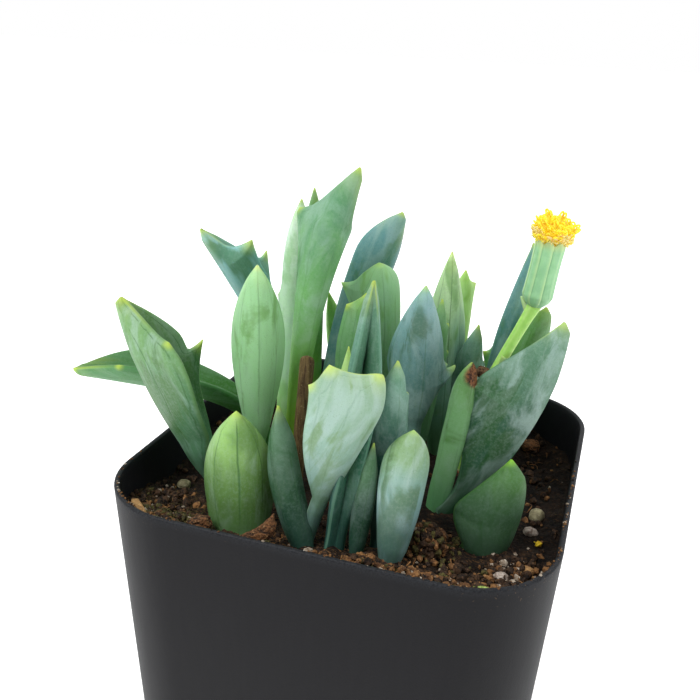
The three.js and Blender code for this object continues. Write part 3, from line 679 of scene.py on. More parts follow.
@dataclass(frozen=True)
class MouldedPlastic:
    """Thin black plastic with a satin face, faint draw lines and dust near its rim."""

    body: Paint = Paint(7, 7, 12)
    clouded: Paint = Paint(11, 10, 15)
    worn: Paint = Paint(44, 46, 50)
    inner: Paint = Paint(36, 36, 42)
    soiled: Paint = Paint(112, 90, 66)

    def material(self, name: str) -> Material:
        """Makes the material.

        Args:
            name: Its name.

        Returns:
            The material.
        """
        mix = Recipe(name)
        edge, low, inner = mix.parts("pot_mark")
        cloud = mix.grain(mix.where, 0.06, 3.0, 0.4)
        drawn = mix.grain(mix.scaled(mix.where, (1.0, 1.0, 0.06)), 1.6, 3.0)
        pitted = mix.grain(mix.where, 4.5, 3.0, 0.0, 0.6)
        colour = mix.blend(mix.ramp(cloud, 0.35, 0.7, 0.0, 0.35), self.body, self.clouded)
        # Painted light: the inner wall is painted a lighter grey.
        colour = mix.blend(mix.times(inner, mix.ramp(cloud, 0.3, 0.7, 0.5, 1.0)), colour, self.inner)
        # The rim: scuffs and a painted highlight along its top.
        scuffs_and_highlight = mix.times(edge, mix.ramp(pitted, 0.35, 0.6, 0.25, 0.9))
        colour = mix.blend(scuffs_and_highlight, colour, self.worn)
        speck = mix.ramp(mix.grain(mix.where, 3.2, 2.0), 0.66, 0.72)
        colour = mix.blend(mix.times(speck, low), colour, self.soiled)
        rough = mix.ramp(drawn, 0.3, 0.7, 0.52, 0.54)
        height = mix.plus(mix.times(pitted, 0.5), mix.times(drawn, 0.04))
        return mix.finish(colour, rough, height, 0.03, Specular_IOR_Level=0.17)


@dataclass(frozen=True)
class PottingMix:
    """Damp peat: near black crumbs with warm brown fibres; the fibres and chaff show where it is drier and, as
    painted light, on its raised tops, and the gaps between crumbs are darkened as painted shade.
    """

    dark: Paint = Paint(13, 10, 9)
    brown: Paint = Paint(46, 32, 22)
    warm: Paint = Paint(150, 108, 64)
    chaff: Paint = Paint(176, 140, 98)
    moss: Paint = Paint(112, 104, 48)

    def material(self, name: str) -> Material:
        """Makes the material.

        Args:
            name: Its name.

        Returns:
            The material.
        """
        mix = Recipe(name)
        raised, dry, mossy = mix.parts("soil_mark")
        cloud = mix.grain(mix.where, 0.45, 4.0, 0.6, 0.65)
        crumb = mix.cells(mix.where, 1.6)
        fine = mix.grain(mix.where, 3.5, 5.0, 1.2, 0.75)
        thread = mix.grain(mix.scaled(mix.where, (0.5, 2.6, 1.4)), 1.3, 4.0, 1.6, 0.7)
        colour = mix.blend(mix.ramp(cloud, 0.38, 0.62), self.dark, self.brown)
        # lit: the drier front soil, and the raised tops as painted light.
        lit = mix.plus(mix.times(dry, 0.75), mix.times(raised, 0.25))
        warmth = mix.times(mix.ramp(thread, 0.5, 0.62), lit, clamp=True)
        colour = mix.blend(warmth, colour, self.warm)
        colour = mix.blend(mix.times(mix.ramp(fine, 0.64, 0.7), lit, clamp=True), colour, self.chaff)
        colour = mix.blend(mix.times(mix.ramp(fine, 0.52, 0.62), mossy, clamp=True), colour, self.moss)
        # Painted shade: the gaps between crumbs are darkened.
        colour = mix.blend(mix.ramp(crumb, 0.35, 0.6, 0.0, 0.5), colour, self.dark)
        height = mix.plus(mix.times(fine, 0.9), mix.times(thread, 0.6))
        height = mix.minus(height, mix.times(crumb, 0.6))
        return mix.finish(colour, mix.ramp(fine, 0.3, 0.7, 0.95, 0.75), height, 0.45, Specular_IOR_Level=0.25)


@dataclass(frozen=True)
class Fibrous:
    """Anything small and dry with a grain along it: bark, straw, a withered leaf, peat fibre, a stone."""

    dark: Paint
    light: Paint
    fleck: Paint
    stretch: Point = (1.0, 1.0, 1.0)
    scale: float = 2.0
    rough: float = 0.85
    depth: float = 0.2

    def material(self, name: str) -> Material:
        """Makes the material.

        Args:
            name: Its name.

        Returns:
            The material.
        """
        mix = Recipe(name)
        grained = mix.grain(mix.scaled(mix.where, self.stretch), self.scale, 4.0, 0.7, 0.65)
        fine = mix.grain(mix.where, self.scale * 3.1, 3.0, 0.3, 0.6)
        colour = mix.blend(mix.ramp(grained, 0.36, 0.64), self.dark, self.light)
        colour = mix.blend(mix.ramp(fine, 0.6, 0.7, 0.0, 0.8), colour, self.fleck)
        height = mix.plus(grained, mix.times(fine, 0.5))
        rough = mix.ramp(fine, 0.3, 0.7, self.rough, self.rough - 0.15)
        return mix.finish(colour, rough, height, self.depth, Specular_IOR_Level=0.3)


@dataclass(frozen=True)
class SoftGreen:
    """Tender green skin of the stalk and the bracts, paler where it is thin."""

    shade: Paint
    body: Paint
    thin: Paint
    tip: Paint = Paint(210, 220, 150)
    glow: float = 0.2

    def material(self, name: str) -> Material:
        """Makes the material.

        Args:
            name: Its name.

        Returns:
            The material.
        """
        mix = Recipe(name)
        ridge, rise, middle = mix.parts("bract_mark")
        cloud = mix.grain(mix.where, 0.7, 3.0, 0.5)
        line = mix.grain(mix.scaled(mix.where, (2.2, 2.2, 0.25)), 1.7, 3.0)
        fine = mix.grain(mix.where, 5.0, 2.0)
        colour = mix.blend(mix.ramp(cloud, 0.35, 0.65, 0.0, 0.5), self.body, self.shade)
        colour = mix.blend(mix.times(ridge, mix.ramp(line, 0.3, 0.6, 0.5, 1.0)), colour, self.thin)
        # Painted shade in the grooves between the bracts, and a faint dark line down each bract's middle.
        colour = mix.blend(mix.times(middle, mix.ramp(line, 0.25, 0.6, 0.4, 0.9)), colour, self.shade)
        colour = mix.blend(mix.ramp(rise, 0.84, 1.0, 0.0, 0.75), colour, self.tip)
        height = mix.plus(mix.times(line, 0.7), mix.times(fine, 0.3))
        return mix.finish(
            colour,
            mix.ramp(fine, 0.3, 0.7, 0.5, 0.38),
            height,
            0.08,
            Subsurface_Weight=self.glow,
            Subsurface_Radius=(0.7, 1.0, 0.3),
            Subsurface_Scale=0.001,
            Specular_IOR_Level=0.4,
        )


@dataclass(frozen=True)
class Petal:
    """The florets: clear yellow with orange depths, and cream with brown where they wither."""

    body: Paint
    deep: Paint
    pale: Paint

    def material(self, name: str) -> Material:
        """Makes the material.

        Args:
            name: Its name.

        Returns:
            The material.
        """
        mix = Recipe(name)
        cloud = mix.grain(mix.where, 1.6, 3.0)
        fine = mix.grain(mix.where, 9.0, 3.0, 0.0, 0.6)
        colour = mix.blend(mix.ramp(cloud, 0.38, 0.66), self.body, self.deep)
        colour = mix.blend(mix.ramp(fine, 0.55, 0.7, 0.0, 0.7), colour, self.pale)
        return mix.finish(
            colour,
            mix.ramp(fine, 0.3, 0.7, 0.6, 0.45),
            fine,
            0.05,
            Subsurface_Weight=0.8,
            Subsurface_Radius=(1.0, 0.8, 0.25),
            Subsurface_Scale=0.0016,
            # Painted light: a faint yellow glow, though the florets are no lamp.
            Emission_Color=(1, 0.72, 0.05, 1),
            Emission_Strength=0.16,
            Specular_IOR_Level=0.35,
        )


# The pot


@dataclass(frozen=True)
class NurseryPot:
    """A thin, tapered, square pot with round corners, four drain holes and a plain rim."""

    height: float = 57.0
    rim_half: float = 28.5
    corner_radius: float = 11.5
    taper: float = 0.054
    wall: float = 0.7
    floor: float = 1.4
    rim_round: float = 0.3
    base_round: float = 0.9
    corner_steps: int = 18
    side_steps: int = 14
    drain_radius: float = 3.0
    drain_offset: float = 13.5
    drain_sides: int = 40
    rim_band: float = 1.2  # the height below the rim that has its own sections
    dust_band: float = 3.5

    def half(self, z: float | Array) -> float | Array:
        """Half the outer width at a height."""
        return self.rim_half - self.taper * (self.height - z)

    def outline(self, z: float, inset: float) -> Array:
        """The rounded square at a height.

        Args:
            z: The height.
            inset: How far inside the outer face it lies.

        Returns:
            Its points in three dimensions, anticlockwise from above.
        """
        half = self.half(z) - inset
        radius = self.corner_radius * self.half(z) / self.rim_half - inset
        made = []
        for corner in range(4):
            middle = (half - radius) * point(1 if corner in (0, 3) else -1, 1 if corner < 2 else -1)
            for step in range(self.corner_steps + 1):
                turn = (corner + step / self.corner_steps) * pi / 2
                made.append(middle + radius * point(cos(turn), sin(turn)))
            end = (half - radius) * point(1 if corner > 1 else -1, 1 if corner in (0, 3) else -1)
            turn = (corner + 1) * pi / 2
            end = end + radius * point(cos(turn), sin(turn))
            start = made[-1]
            for step in range(1, self.side_steps):
                made.append(start + (end - start) * step / self.side_steps)
        return np.column_stack([np.array(made), np.full(len(made), z)])

    def reach(self, angle: Array, z: float, inset: float) -> Array:
        """How far the rounded square reaches from its middle.

        Args:
            angle: Directions, in radians.
            z: The height.
            inset: How far inside the outer face it lies.

        Returns:
            The distance for each direction.
        """
        ring = self.outline(z, inset)[:, :2]
        turns = np.arctan2(ring[:, 1], ring[:, 0])
        order = np.argsort(turns)
        return np.interp(angle, turns[order], np.hypot(*ring.T)[order], period=2 * pi)

    def build(self) -> Thing:
        """Makes the pot with its drain holes.

        Returns:
            The pot.
        """
        below_rim = self.height - self.rim_band
        levels = [(0.0, self.base_round), (0.25, 0.35), (self.base_round, 0.0)]
        levels += [(z, 0.0) for z in np.linspace(3, below_rim, 24)]
        bend = [(sin(a), 1 - cos(a)) for a in np.radians((0, 30, 60, 90))]
        start = self.height - self.rim_round
        levels += [(start + self.rim_round * up, self.rim_round * over) for up, over in bend]
        inner = self.wall - self.rim_round
        levels += [(start + self.rim_round * up, inner + self.rim_round * (1 - over)) for up, over in bend[::-1]]
        levels += [(z, self.wall) for z in np.linspace(below_rim, self.floor + 1, 12)]
        levels += [(self.floor + 0.3, self.wall + 0.25), (self.floor, self.wall + 0.9)]
        rings = np.array([self.outline(z, inset) for z, inset in levels])
        heights = rings[:, :, 2]
        # The top of the rim, marked for its scuffs and its painted highlight.
        rim_scuff_and_highlight = np.clip((heights - self.height + 0.45) / 0.3, 0, 1)
        corner = np.clip((abs(rings[:, :, 0]) - 17) / 8, 0.12, 1) * (rings[:, :, 1] < 0)
        dusty = np.clip(1 - (self.height - heights) / self.dust_band, 0, 1) ** 2 * corner
        insets = np.array([inset for _, inset in levels])
        # The inner wall, marked to be painted lighter as painted light.
        inside = np.broadcast_to((insets[:, None] > self.wall / 2).astype(float), heights.shape)
        marks = np.stack([rim_scuff_and_highlight, dusty, inside], axis=2)
        shell = Shell()
        shell.loft(rings, (point(0, 0, 0), point(0, 0, self.floor)), pot_mark=marks)
        pot = shell.piece("pot_shell", [MouldedPlastic().material("moulded_plastic")], "pot", ["pot"])
        self.cut_drains(pot)
        return pot

    def cut_drains(self, pot: Thing) -> None:
        """Cuts the four drain holes through the floor of the pot.

        Args:
            pot: The pot.
        """
        drill = bmesh.new()
        for x in (-self.drain_offset, self.drain_offset):
            for y in (-self.drain_offset, self.drain_offset):
                place = Matrix.Translation(Vector((x, y, self.floor / 2)) * METRES)
                radius, depth = self.drain_radius * METRES, 4 * self.floor * METRES
                bar = {"segments": self.drain_sides, "radius1": radius, "radius2": radius, "depth": depth}
                bmesh.ops.create_cone(drill, cap_ends=True, matrix=place, **bar)
        mesh = bpy.data.meshes.new("drill")
        drill.to_mesh(mesh)
        drill.free()
        tool = bpy.data.objects.new("drill", mesh)
        bpy.context.scene.collection.objects.link(tool)
        cut = pot.modifiers.new("drains", "BOOLEAN")
        cut.object = tool
        cut.operation = "DIFFERENCE"
        cut.solver = "EXACT"
        graph = bpy.context.evaluated_depsgraph_get()
        drilled = bpy.data.meshes.new_from_object(pot.evaluated_get(graph))
        pot.modifiers.clear()
        pot.data = drilled
        bpy.data.objects.remove(tool)


# The leaves


class Side(Enum):
    """A margin of a leaf, seen facing its channel."""

    LEFT = -1
    RIGHT = 1


@dataclass(frozen=True)
class Outline:
    """How wide a leaf is along its length, as shares of its half width.

    It is foot wide up to neck, widens to its full width at peak and closes to its tip. swell and rounding set
    how it widens, and belly how full it stays towards the tip.
    """

    neck: float
    foot: float
    peak: float
    swell: float
    rounding: float
    belly: float

    def share(self, place: Array) -> Array:
        """The share of the half width at some places.

        Args:
            place: Places from 0, the root, to 1, the tip.

        Returns:
            The share at each.
        """
        rise = np.clip((place - self.neck) / (self.peak - self.neck), 0, 1)
        below = self.foot + (1 - self.foot) * (1 - (1 - rise) ** self.rounding) ** self.swell
        above = 1 - np.clip((place - self.peak) / (1 - self.peak), 0, 1) ** self.belly
        return np.where(place >= self.peak, above, below)


class Form(Enum):
    """The outlines that the leaves have."""

    SPEAR = Outline(0.1, 0.22, 0.64, 1.4, 2, 1.3)
    BLADE = Outline(0.1, 0.38, 0.64, 1.4, 2, 1.3)
    KITE = Outline(0.34, 0.2, 0.62, 1.1, 1.6, 1.6)
    FLARE = Outline(0, 0.2, 0.8, 2.6, 1, 0.95)
    CUP = Outline(0.2, 0.2, 0.8, 1.4, 2, 1.9)
    LADLE = Outline(0.1, 0.4, 0.8, 1.6, 2, 1.9)
    CREST = Outline(0.1, 0.4, 0.8, 1, 2, 2.6)
    OVAL = Outline(0, 0.42, 0.46, 0.9, 2, 2.1)
    HEART = Outline(0, 0.6, 0.34, 1, 2, 1.5)
    DROP = Outline(0.1, 0.2, 0.64, 2.2, 2, 2.2)
    LANCE = Outline(0, 0.34, 0.55, 1, 2, 1.7)
    SPOON = Outline(0.05, 0.3, 0.7, 1.1, 2, 2.4)
    STRAP = Outline(0, 0.6, 0.7, 1, 2, 2.6)
    WIDE = Outline(0.1, 0.26, 0.72, 1.1, 2, 1.4)
    CLAW = Outline(0, 0.2, 0.72, 3, 1.3, 1)
    GOBLET = Outline(0.3, 0.15, 0.82, 1.1, 2, 1.9)
    STUB = Outline(0, 0.8, 0.92, 1, 1, 5)


@dataclass(frozen=True)
class Tooth:
    """A tooth on a margin: its side, its place along the leaf and its size."""

    side: Side
    place: float
    size: float


@dataclass(frozen=True)
class Stain:
    """A patch without wax: its place along and across the leaf, its radius in millimetres and its stretch."""

    place: float
    breadth: float
    radius: float
    stretch: float = 1.4
    strength: float = 1.0


@dataclass(frozen=True)
class Leaf:
    """A thick leaf that folds along its keel, with teeth on its margins.

    It rises from at, and its tip lies length away, leaning from upright towards a heading. Its channel opens to
    the heading face, raised by lift. bow carries its middle outwards, sway sideways, and bend is where it curves.
    lop widens its right half and narrows its left half, and sink bellies its keel out where it is wide.
    """

    at: Spot
    length: float
    lean: float
    toward: float
    face: float
    half: float
    fold: float
    thick: float
    form: Form
    skin: Skin = Skin.SEA
    bow: float = 0.0
    sway: float = 0.0
    bend: float = 0.5
    lift: float = 0.0
    lop: float = 0.0
    sink: float = 0.0
    teeth: tuple[Tooth, ...] = ()
    stains: tuple[Stain, ...] = ()
    burns: tuple[Stain, ...] = ()

    ROOT_LEVEL = 52.0
    CROWN_LEVEL = 44.6
    CROWN_RADIUS = 1.1
    OUTER_SHARE = 0.62  # how much of the flesh lies outside the folded sheet
    BLADE_LEAST = 0.62  # the least thickness
    TIP_THICKNESS = 0.55  # what is left of the thickness at the tip
    TIP_TAPER = 0.25  # the share of the length over which it thins
    ROOT_FOLD = 0.25  # how much of the fold the root has
    FOLD_RISE = 0.4
    KEEL_SHARE = 0.3  # the share of the half width over which it turns up
    BLADE_STEPS = 40
    HOOK = 0.6  # how far a tooth leans towards the tip
    TOOTH_RISE = 0.15
    TOOTH_DROP = 0.06
    TOOTH_SECTIONS = (-0.024, -0.012, -0.005, 0, 0.004, 0.01, 0.02, 0.035)
    ARC_POINTS = 15

    def midrib(self, place: Array) -> tuple[Array, Array]:
        """The middle line of the leaf.

        Args:
            place: Places from 0, the root, to 1, the tip.

        Returns:
            The points there, and the directions towards the tip.
        """
        up = point(0, 0, 1)
        away = heading(self.toward)
        lean = radians(self.lean)
        chord = away * sin(lean) + up * cos(lean)
        outwards = away * cos(lean) - up * sin(lean)
        root = point(*self.at, self.ROOT_LEVEL)
        tip = root + chord * self.length
        control = root + (tip - root) * self.bend + 2 * self.bow * outwards
        control = control + 2 * self.sway * np.cross(chord, outwards)
        t = place[:, None]
        points = (1 - t) ** 2 * root + 2 * t * (1 - t) * control + t * t * tip
        return points, unit(2 * (1 - t) * (control - root) + 2 * t * (tip - control))

    def tooth_reach(self, side: Side, place: Array) -> Array:
        """How far the teeth of one side stand out: a long rise, then a short drop.

        Args:
            side: The side.
            place: Places along the leaf.

        Returns:
            The reach at each place.
        """
        total = np.zeros_like(place)
        for tooth in self.teeth:
            if tooth.side is side:
                past = place - tooth.place
                distance = np.where(past <= 0, -past / self.TOOTH_RISE, past / self.TOOTH_DROP)
                total = total + tooth.size * np.clip(1 - distance, 0, 1) ** 2
        return total

    def places(self) -> Array:
        """The places where the leaf has a section, closer together at its teeth and its tip.

        Returns:
            The places, in order.
        """
        even = np.linspace(0, 0.9, 34)
        tip = 1 - 0.1 * np.linspace(1, 0, 12) ** 1.5
        near = [tooth.place + offset for tooth in self.teeth for offset in self.TOOTH_SECTIONS]
        every = np.unique(np.round(np.concatenate([even, tip, near]), 5))
        return every[(every >= 0) & (every <= 0.9995)]

    def blade(self, share: Array, fold: Array) -> tuple[Array, Array, Array]:
        """Half a blade that turns up by fold from its keel to its margin.

        Args:
            share: Shares of the half width.
            fold: The fold of each section, in radians.

        Returns:
            How far out and how far up each share lies in each section, and how far it has turned.
        """
        steps = np.linspace(0, 1, self.BLADE_STEPS + 1)
        turn = np.sin(pi / 2 * np.minimum(1, steps / self.KEEL_SHARE))
        out, up, turned = [], [], []
        for angle in fold:
            local = angle * turn
            middles = (local[1:] + local[:-1]) / 2
            gone = np.concatenate([[0], np.cumsum(np.cos(middles) / self.BLADE_STEPS)])
            risen = np.concatenate([[0], np.cumsum(np.sin(middles) / self.BLADE_STEPS)])
            out.append(np.interp(share, steps, gone))
            up.append(np.interp(share, steps, risen))
            turned.append(np.interp(share, steps, local))
        return np.array(out), np.array(up), np.array(turned)

    def ripple(self, place: Array, breadth: float, seed: float) -> Array:
        """How far the gentle waves of the margins and the blade raise each place, at a breadth from -1 to 1."""
        margin = 0.1 * sin(1 + seed * 9) * np.sin(place * 17 + seed * 40 + breadth) * abs(breadth) ** 3
        return margin + 0.05 * np.sin(place * 11 + seed * 70) * np.cos(breadth * 4 + seed * 30)

    def add_to(self, shell: Shell, crown: Spot, seed: float, finish: int) -> None:
        """Adds the leaf to its stem.

        Args:
            shell: The stem that is being made.
            crown: Where the buried crown of the stem stands.
            seed: A number from 0 to 1 that sets its pattern.
            finish: Which of the stem's finishes it has.
        """
        place = self.places()
        middle, along = self.midrib(place)
        opening = heading(self.face, self.lift)[None, :]
        opening = unit(opening - along * (along @ opening[0])[:, None])
        across = np.cross(along, opening)
        fold = radians(self.fold) * np.minimum(1, self.ROOT_FOLD + place / self.FOLD_RISE)
        half = self.half * self.form.value.share(place)
        fullness = np.sqrt(np.clip((1 - place) / self.TIP_TAPER, 0, 1))
        slim = self.TIP_THICKNESS + (1 - self.TIP_THICKNESS) * fullness
        sunk = self.sink * (half - self.half * self.form.value.foot)
        reach = {side: self.tooth_reach(side, place) for side in Side}
        widths = {side: half * (1 + side.value * self.lop) + reach[side] for side in Side}
        widest = np.maximum(widths[Side.LEFT], widths[Side.RIGHT])
        thick = np.minimum(np.maximum(self.BLADE_LEAST, self.thick * slim), 1.3 * widest + 0.3)
        sweep = np.linspace(-pi / 2, pi / 2, self.ARC_POINTS)
        inner = [(sin(a), (1 - self.OUTER_SHARE) * cos(a), 1.0) for a in sweep]
        outer = [(sin(a), -self.OUTER_SHARE * cos(a), -1.0) for a in sweep[::-1][1:-1]]
        columns, flat, sized = [], [], []
        for breadth, depth, face in inner + outer:
            side = Side.LEFT if breadth < 0 else Side.RIGHT
            share = abs(breadth)
            width = widths[side]
            out, up, turned = (part[:, 0] for part in self.blade(np.array([share]), fold))
            offset = depth * thick
            sideways = side.value * (out * width - np.sin(turned) * offset)
            rise = up * width + np.cos(turned) * offset - sunk
            ripple = self.ripple(place, breadth, seed) * (half > 1)
            hooked = self.HOOK * reach[side] * share**3
            spot = middle + across * sideways[:, None] + opening * (rise + ripple)[:, None] + along * hooked[:, None]
            columns.append(spot)
            flat.append(np.column_stack([np.full_like(place, breadth), place, np.full_like(place, seed)]))
            sized.append(np.column_stack([breadth * width, place * self.length, np.full_like(place, face)]))
        rings = np.stack(columns, axis=1)
        marks = self.marks(rings, place, inner + outer)
        foot, heel = self.foot_rings(rings.shape[1], crown, across[0], opening[0])
        lead = np.repeat([np.stack(flat, axis=1)[0]], len(foot), axis=0)
        sizes = np.repeat([np.stack(sized, axis=1)[0]], len(foot), axis=0)
        tip = self.midrib(np.array([1.0]))[0][0]
        shell.loft(
            np.concatenate([foot, rings]),
            (heel, tip),
            finish,
            leaf_place=np.concatenate([lead, np.stack(flat, axis=1)]),
            leaf_size=np.concatenate([sizes, np.stack(sized, axis=1)]),
            leaf_mark=np.concatenate([np.zeros_like(lead), marks]),
        )

    def foot_rings(self, count: int, crown: Spot, across: Array, opening: Array) -> tuple[Array, Array]:
        """The ring where the buried foot of the leaf ends in the crown.

        Args:
            count: Points in the ring.
            crown: Where the crown stands.
            across: The way across the leaf at its root.
            opening: The way its channel opens there.

        Returns:
            The ring as an array of one ring, and the point that closes it.
        """
        centre = point(*crown, self.CROWN_LEVEL)
        root = point(*self.at, self.ROOT_LEVEL)
        turns = pi - np.arange(count) / count * 2 * pi
        ring = centre + self.CROWN_RADIUS * (np.outer(np.cos(turns), across) + np.outer(np.sin(turns), opening))
        return ring[None], centre - 0.5 * unit(root - centre)

    def marks(self, rings: Array, place: Array, arc: Sequence[Point]) -> Array:
        """How near each point is to the tip or a tooth, to a rubbed patch and to a scorched tip.

        Args:
            rings: The points of the leaf.
            place: The place of each ring.
            arc: Breadth, depth and face of each point of a ring.

        Returns:
            Three numbers for each point.
        """
        breadth = np.array([spot[0] for spot in arc])[None, :]
        tip = self.midrib(np.array([1.0]))[0][0]
        tipped = np.clip(1 - np.linalg.norm(rings - tip, axis=2) / (0.9 + 0.18 * self.half), 0, 1)
        for tooth in self.teeth:
            row = int(np.argmin(abs(place - tooth.place)))
            column = 0 if tooth.side is Side.LEFT else self.ARC_POINTS - 1
            away = np.linalg.norm(rings - rings[row, column], axis=2)
            tipped = np.maximum(tipped, np.clip(1 - away / (0.9 + 0.9 * tooth.size), 0, 1))
        stained = np.zeros_like(tipped)
        burnt = np.zeros_like(tipped)
        for patches, kept in ((self.stains, stained), (self.burns, burnt)):
            for patch in patches:
                along = (place[:, None] - patch.place) * self.length / patch.stretch
                over = (breadth - patch.breadth) * self.half
                kept[:] = np.maximum(kept, patch.strength * np.exp(-(along**2 + over**2) / patch.radius**2))
        return np.stack([tipped * (1 - burnt), stained, burnt], axis=2)


@dataclass(frozen=True)
class LeafyStem:
    """A short buried crown with its leaves, and where in the clump it stands."""

    part: str
    crown: Spot
    leaves: tuple[Leaf, ...]

    CROWN = ((41.0, 0.6), (42.5, 1.4), (44.5, 1.9), (46.5, 1.9))  # heights and radii

    def build(self, skins: dict[Skin, Material], seed: int) -> Thing:
        """Makes the crown and its leaves as one piece.

        Args:
            skins: The material of each skin.
            seed: Sets the patterns of its leaves.

        Returns:
            The piece.
        """
        shell = Shell()
        used = list(dict.fromkeys(leaf.skin for leaf in self.leaves))
        random = Random(seed)
        route = np.array([point(*self.crown, z) for z, _ in self.CROWN])
        shell.tube(route, [radius for _, radius in self.CROWN], 16)
        for leaf in self.leaves:
            leaf.add_to(shell, self.crown, random.random(), used.index(leaf.skin))
        node = f"leafy_stem_{self.part}"
        return shell.piece(f"{node}_leaves", [skins[skin] for skin in used], "leaf", [node])


LEFT, RIGHT = Side.LEFT, Side.RIGHT

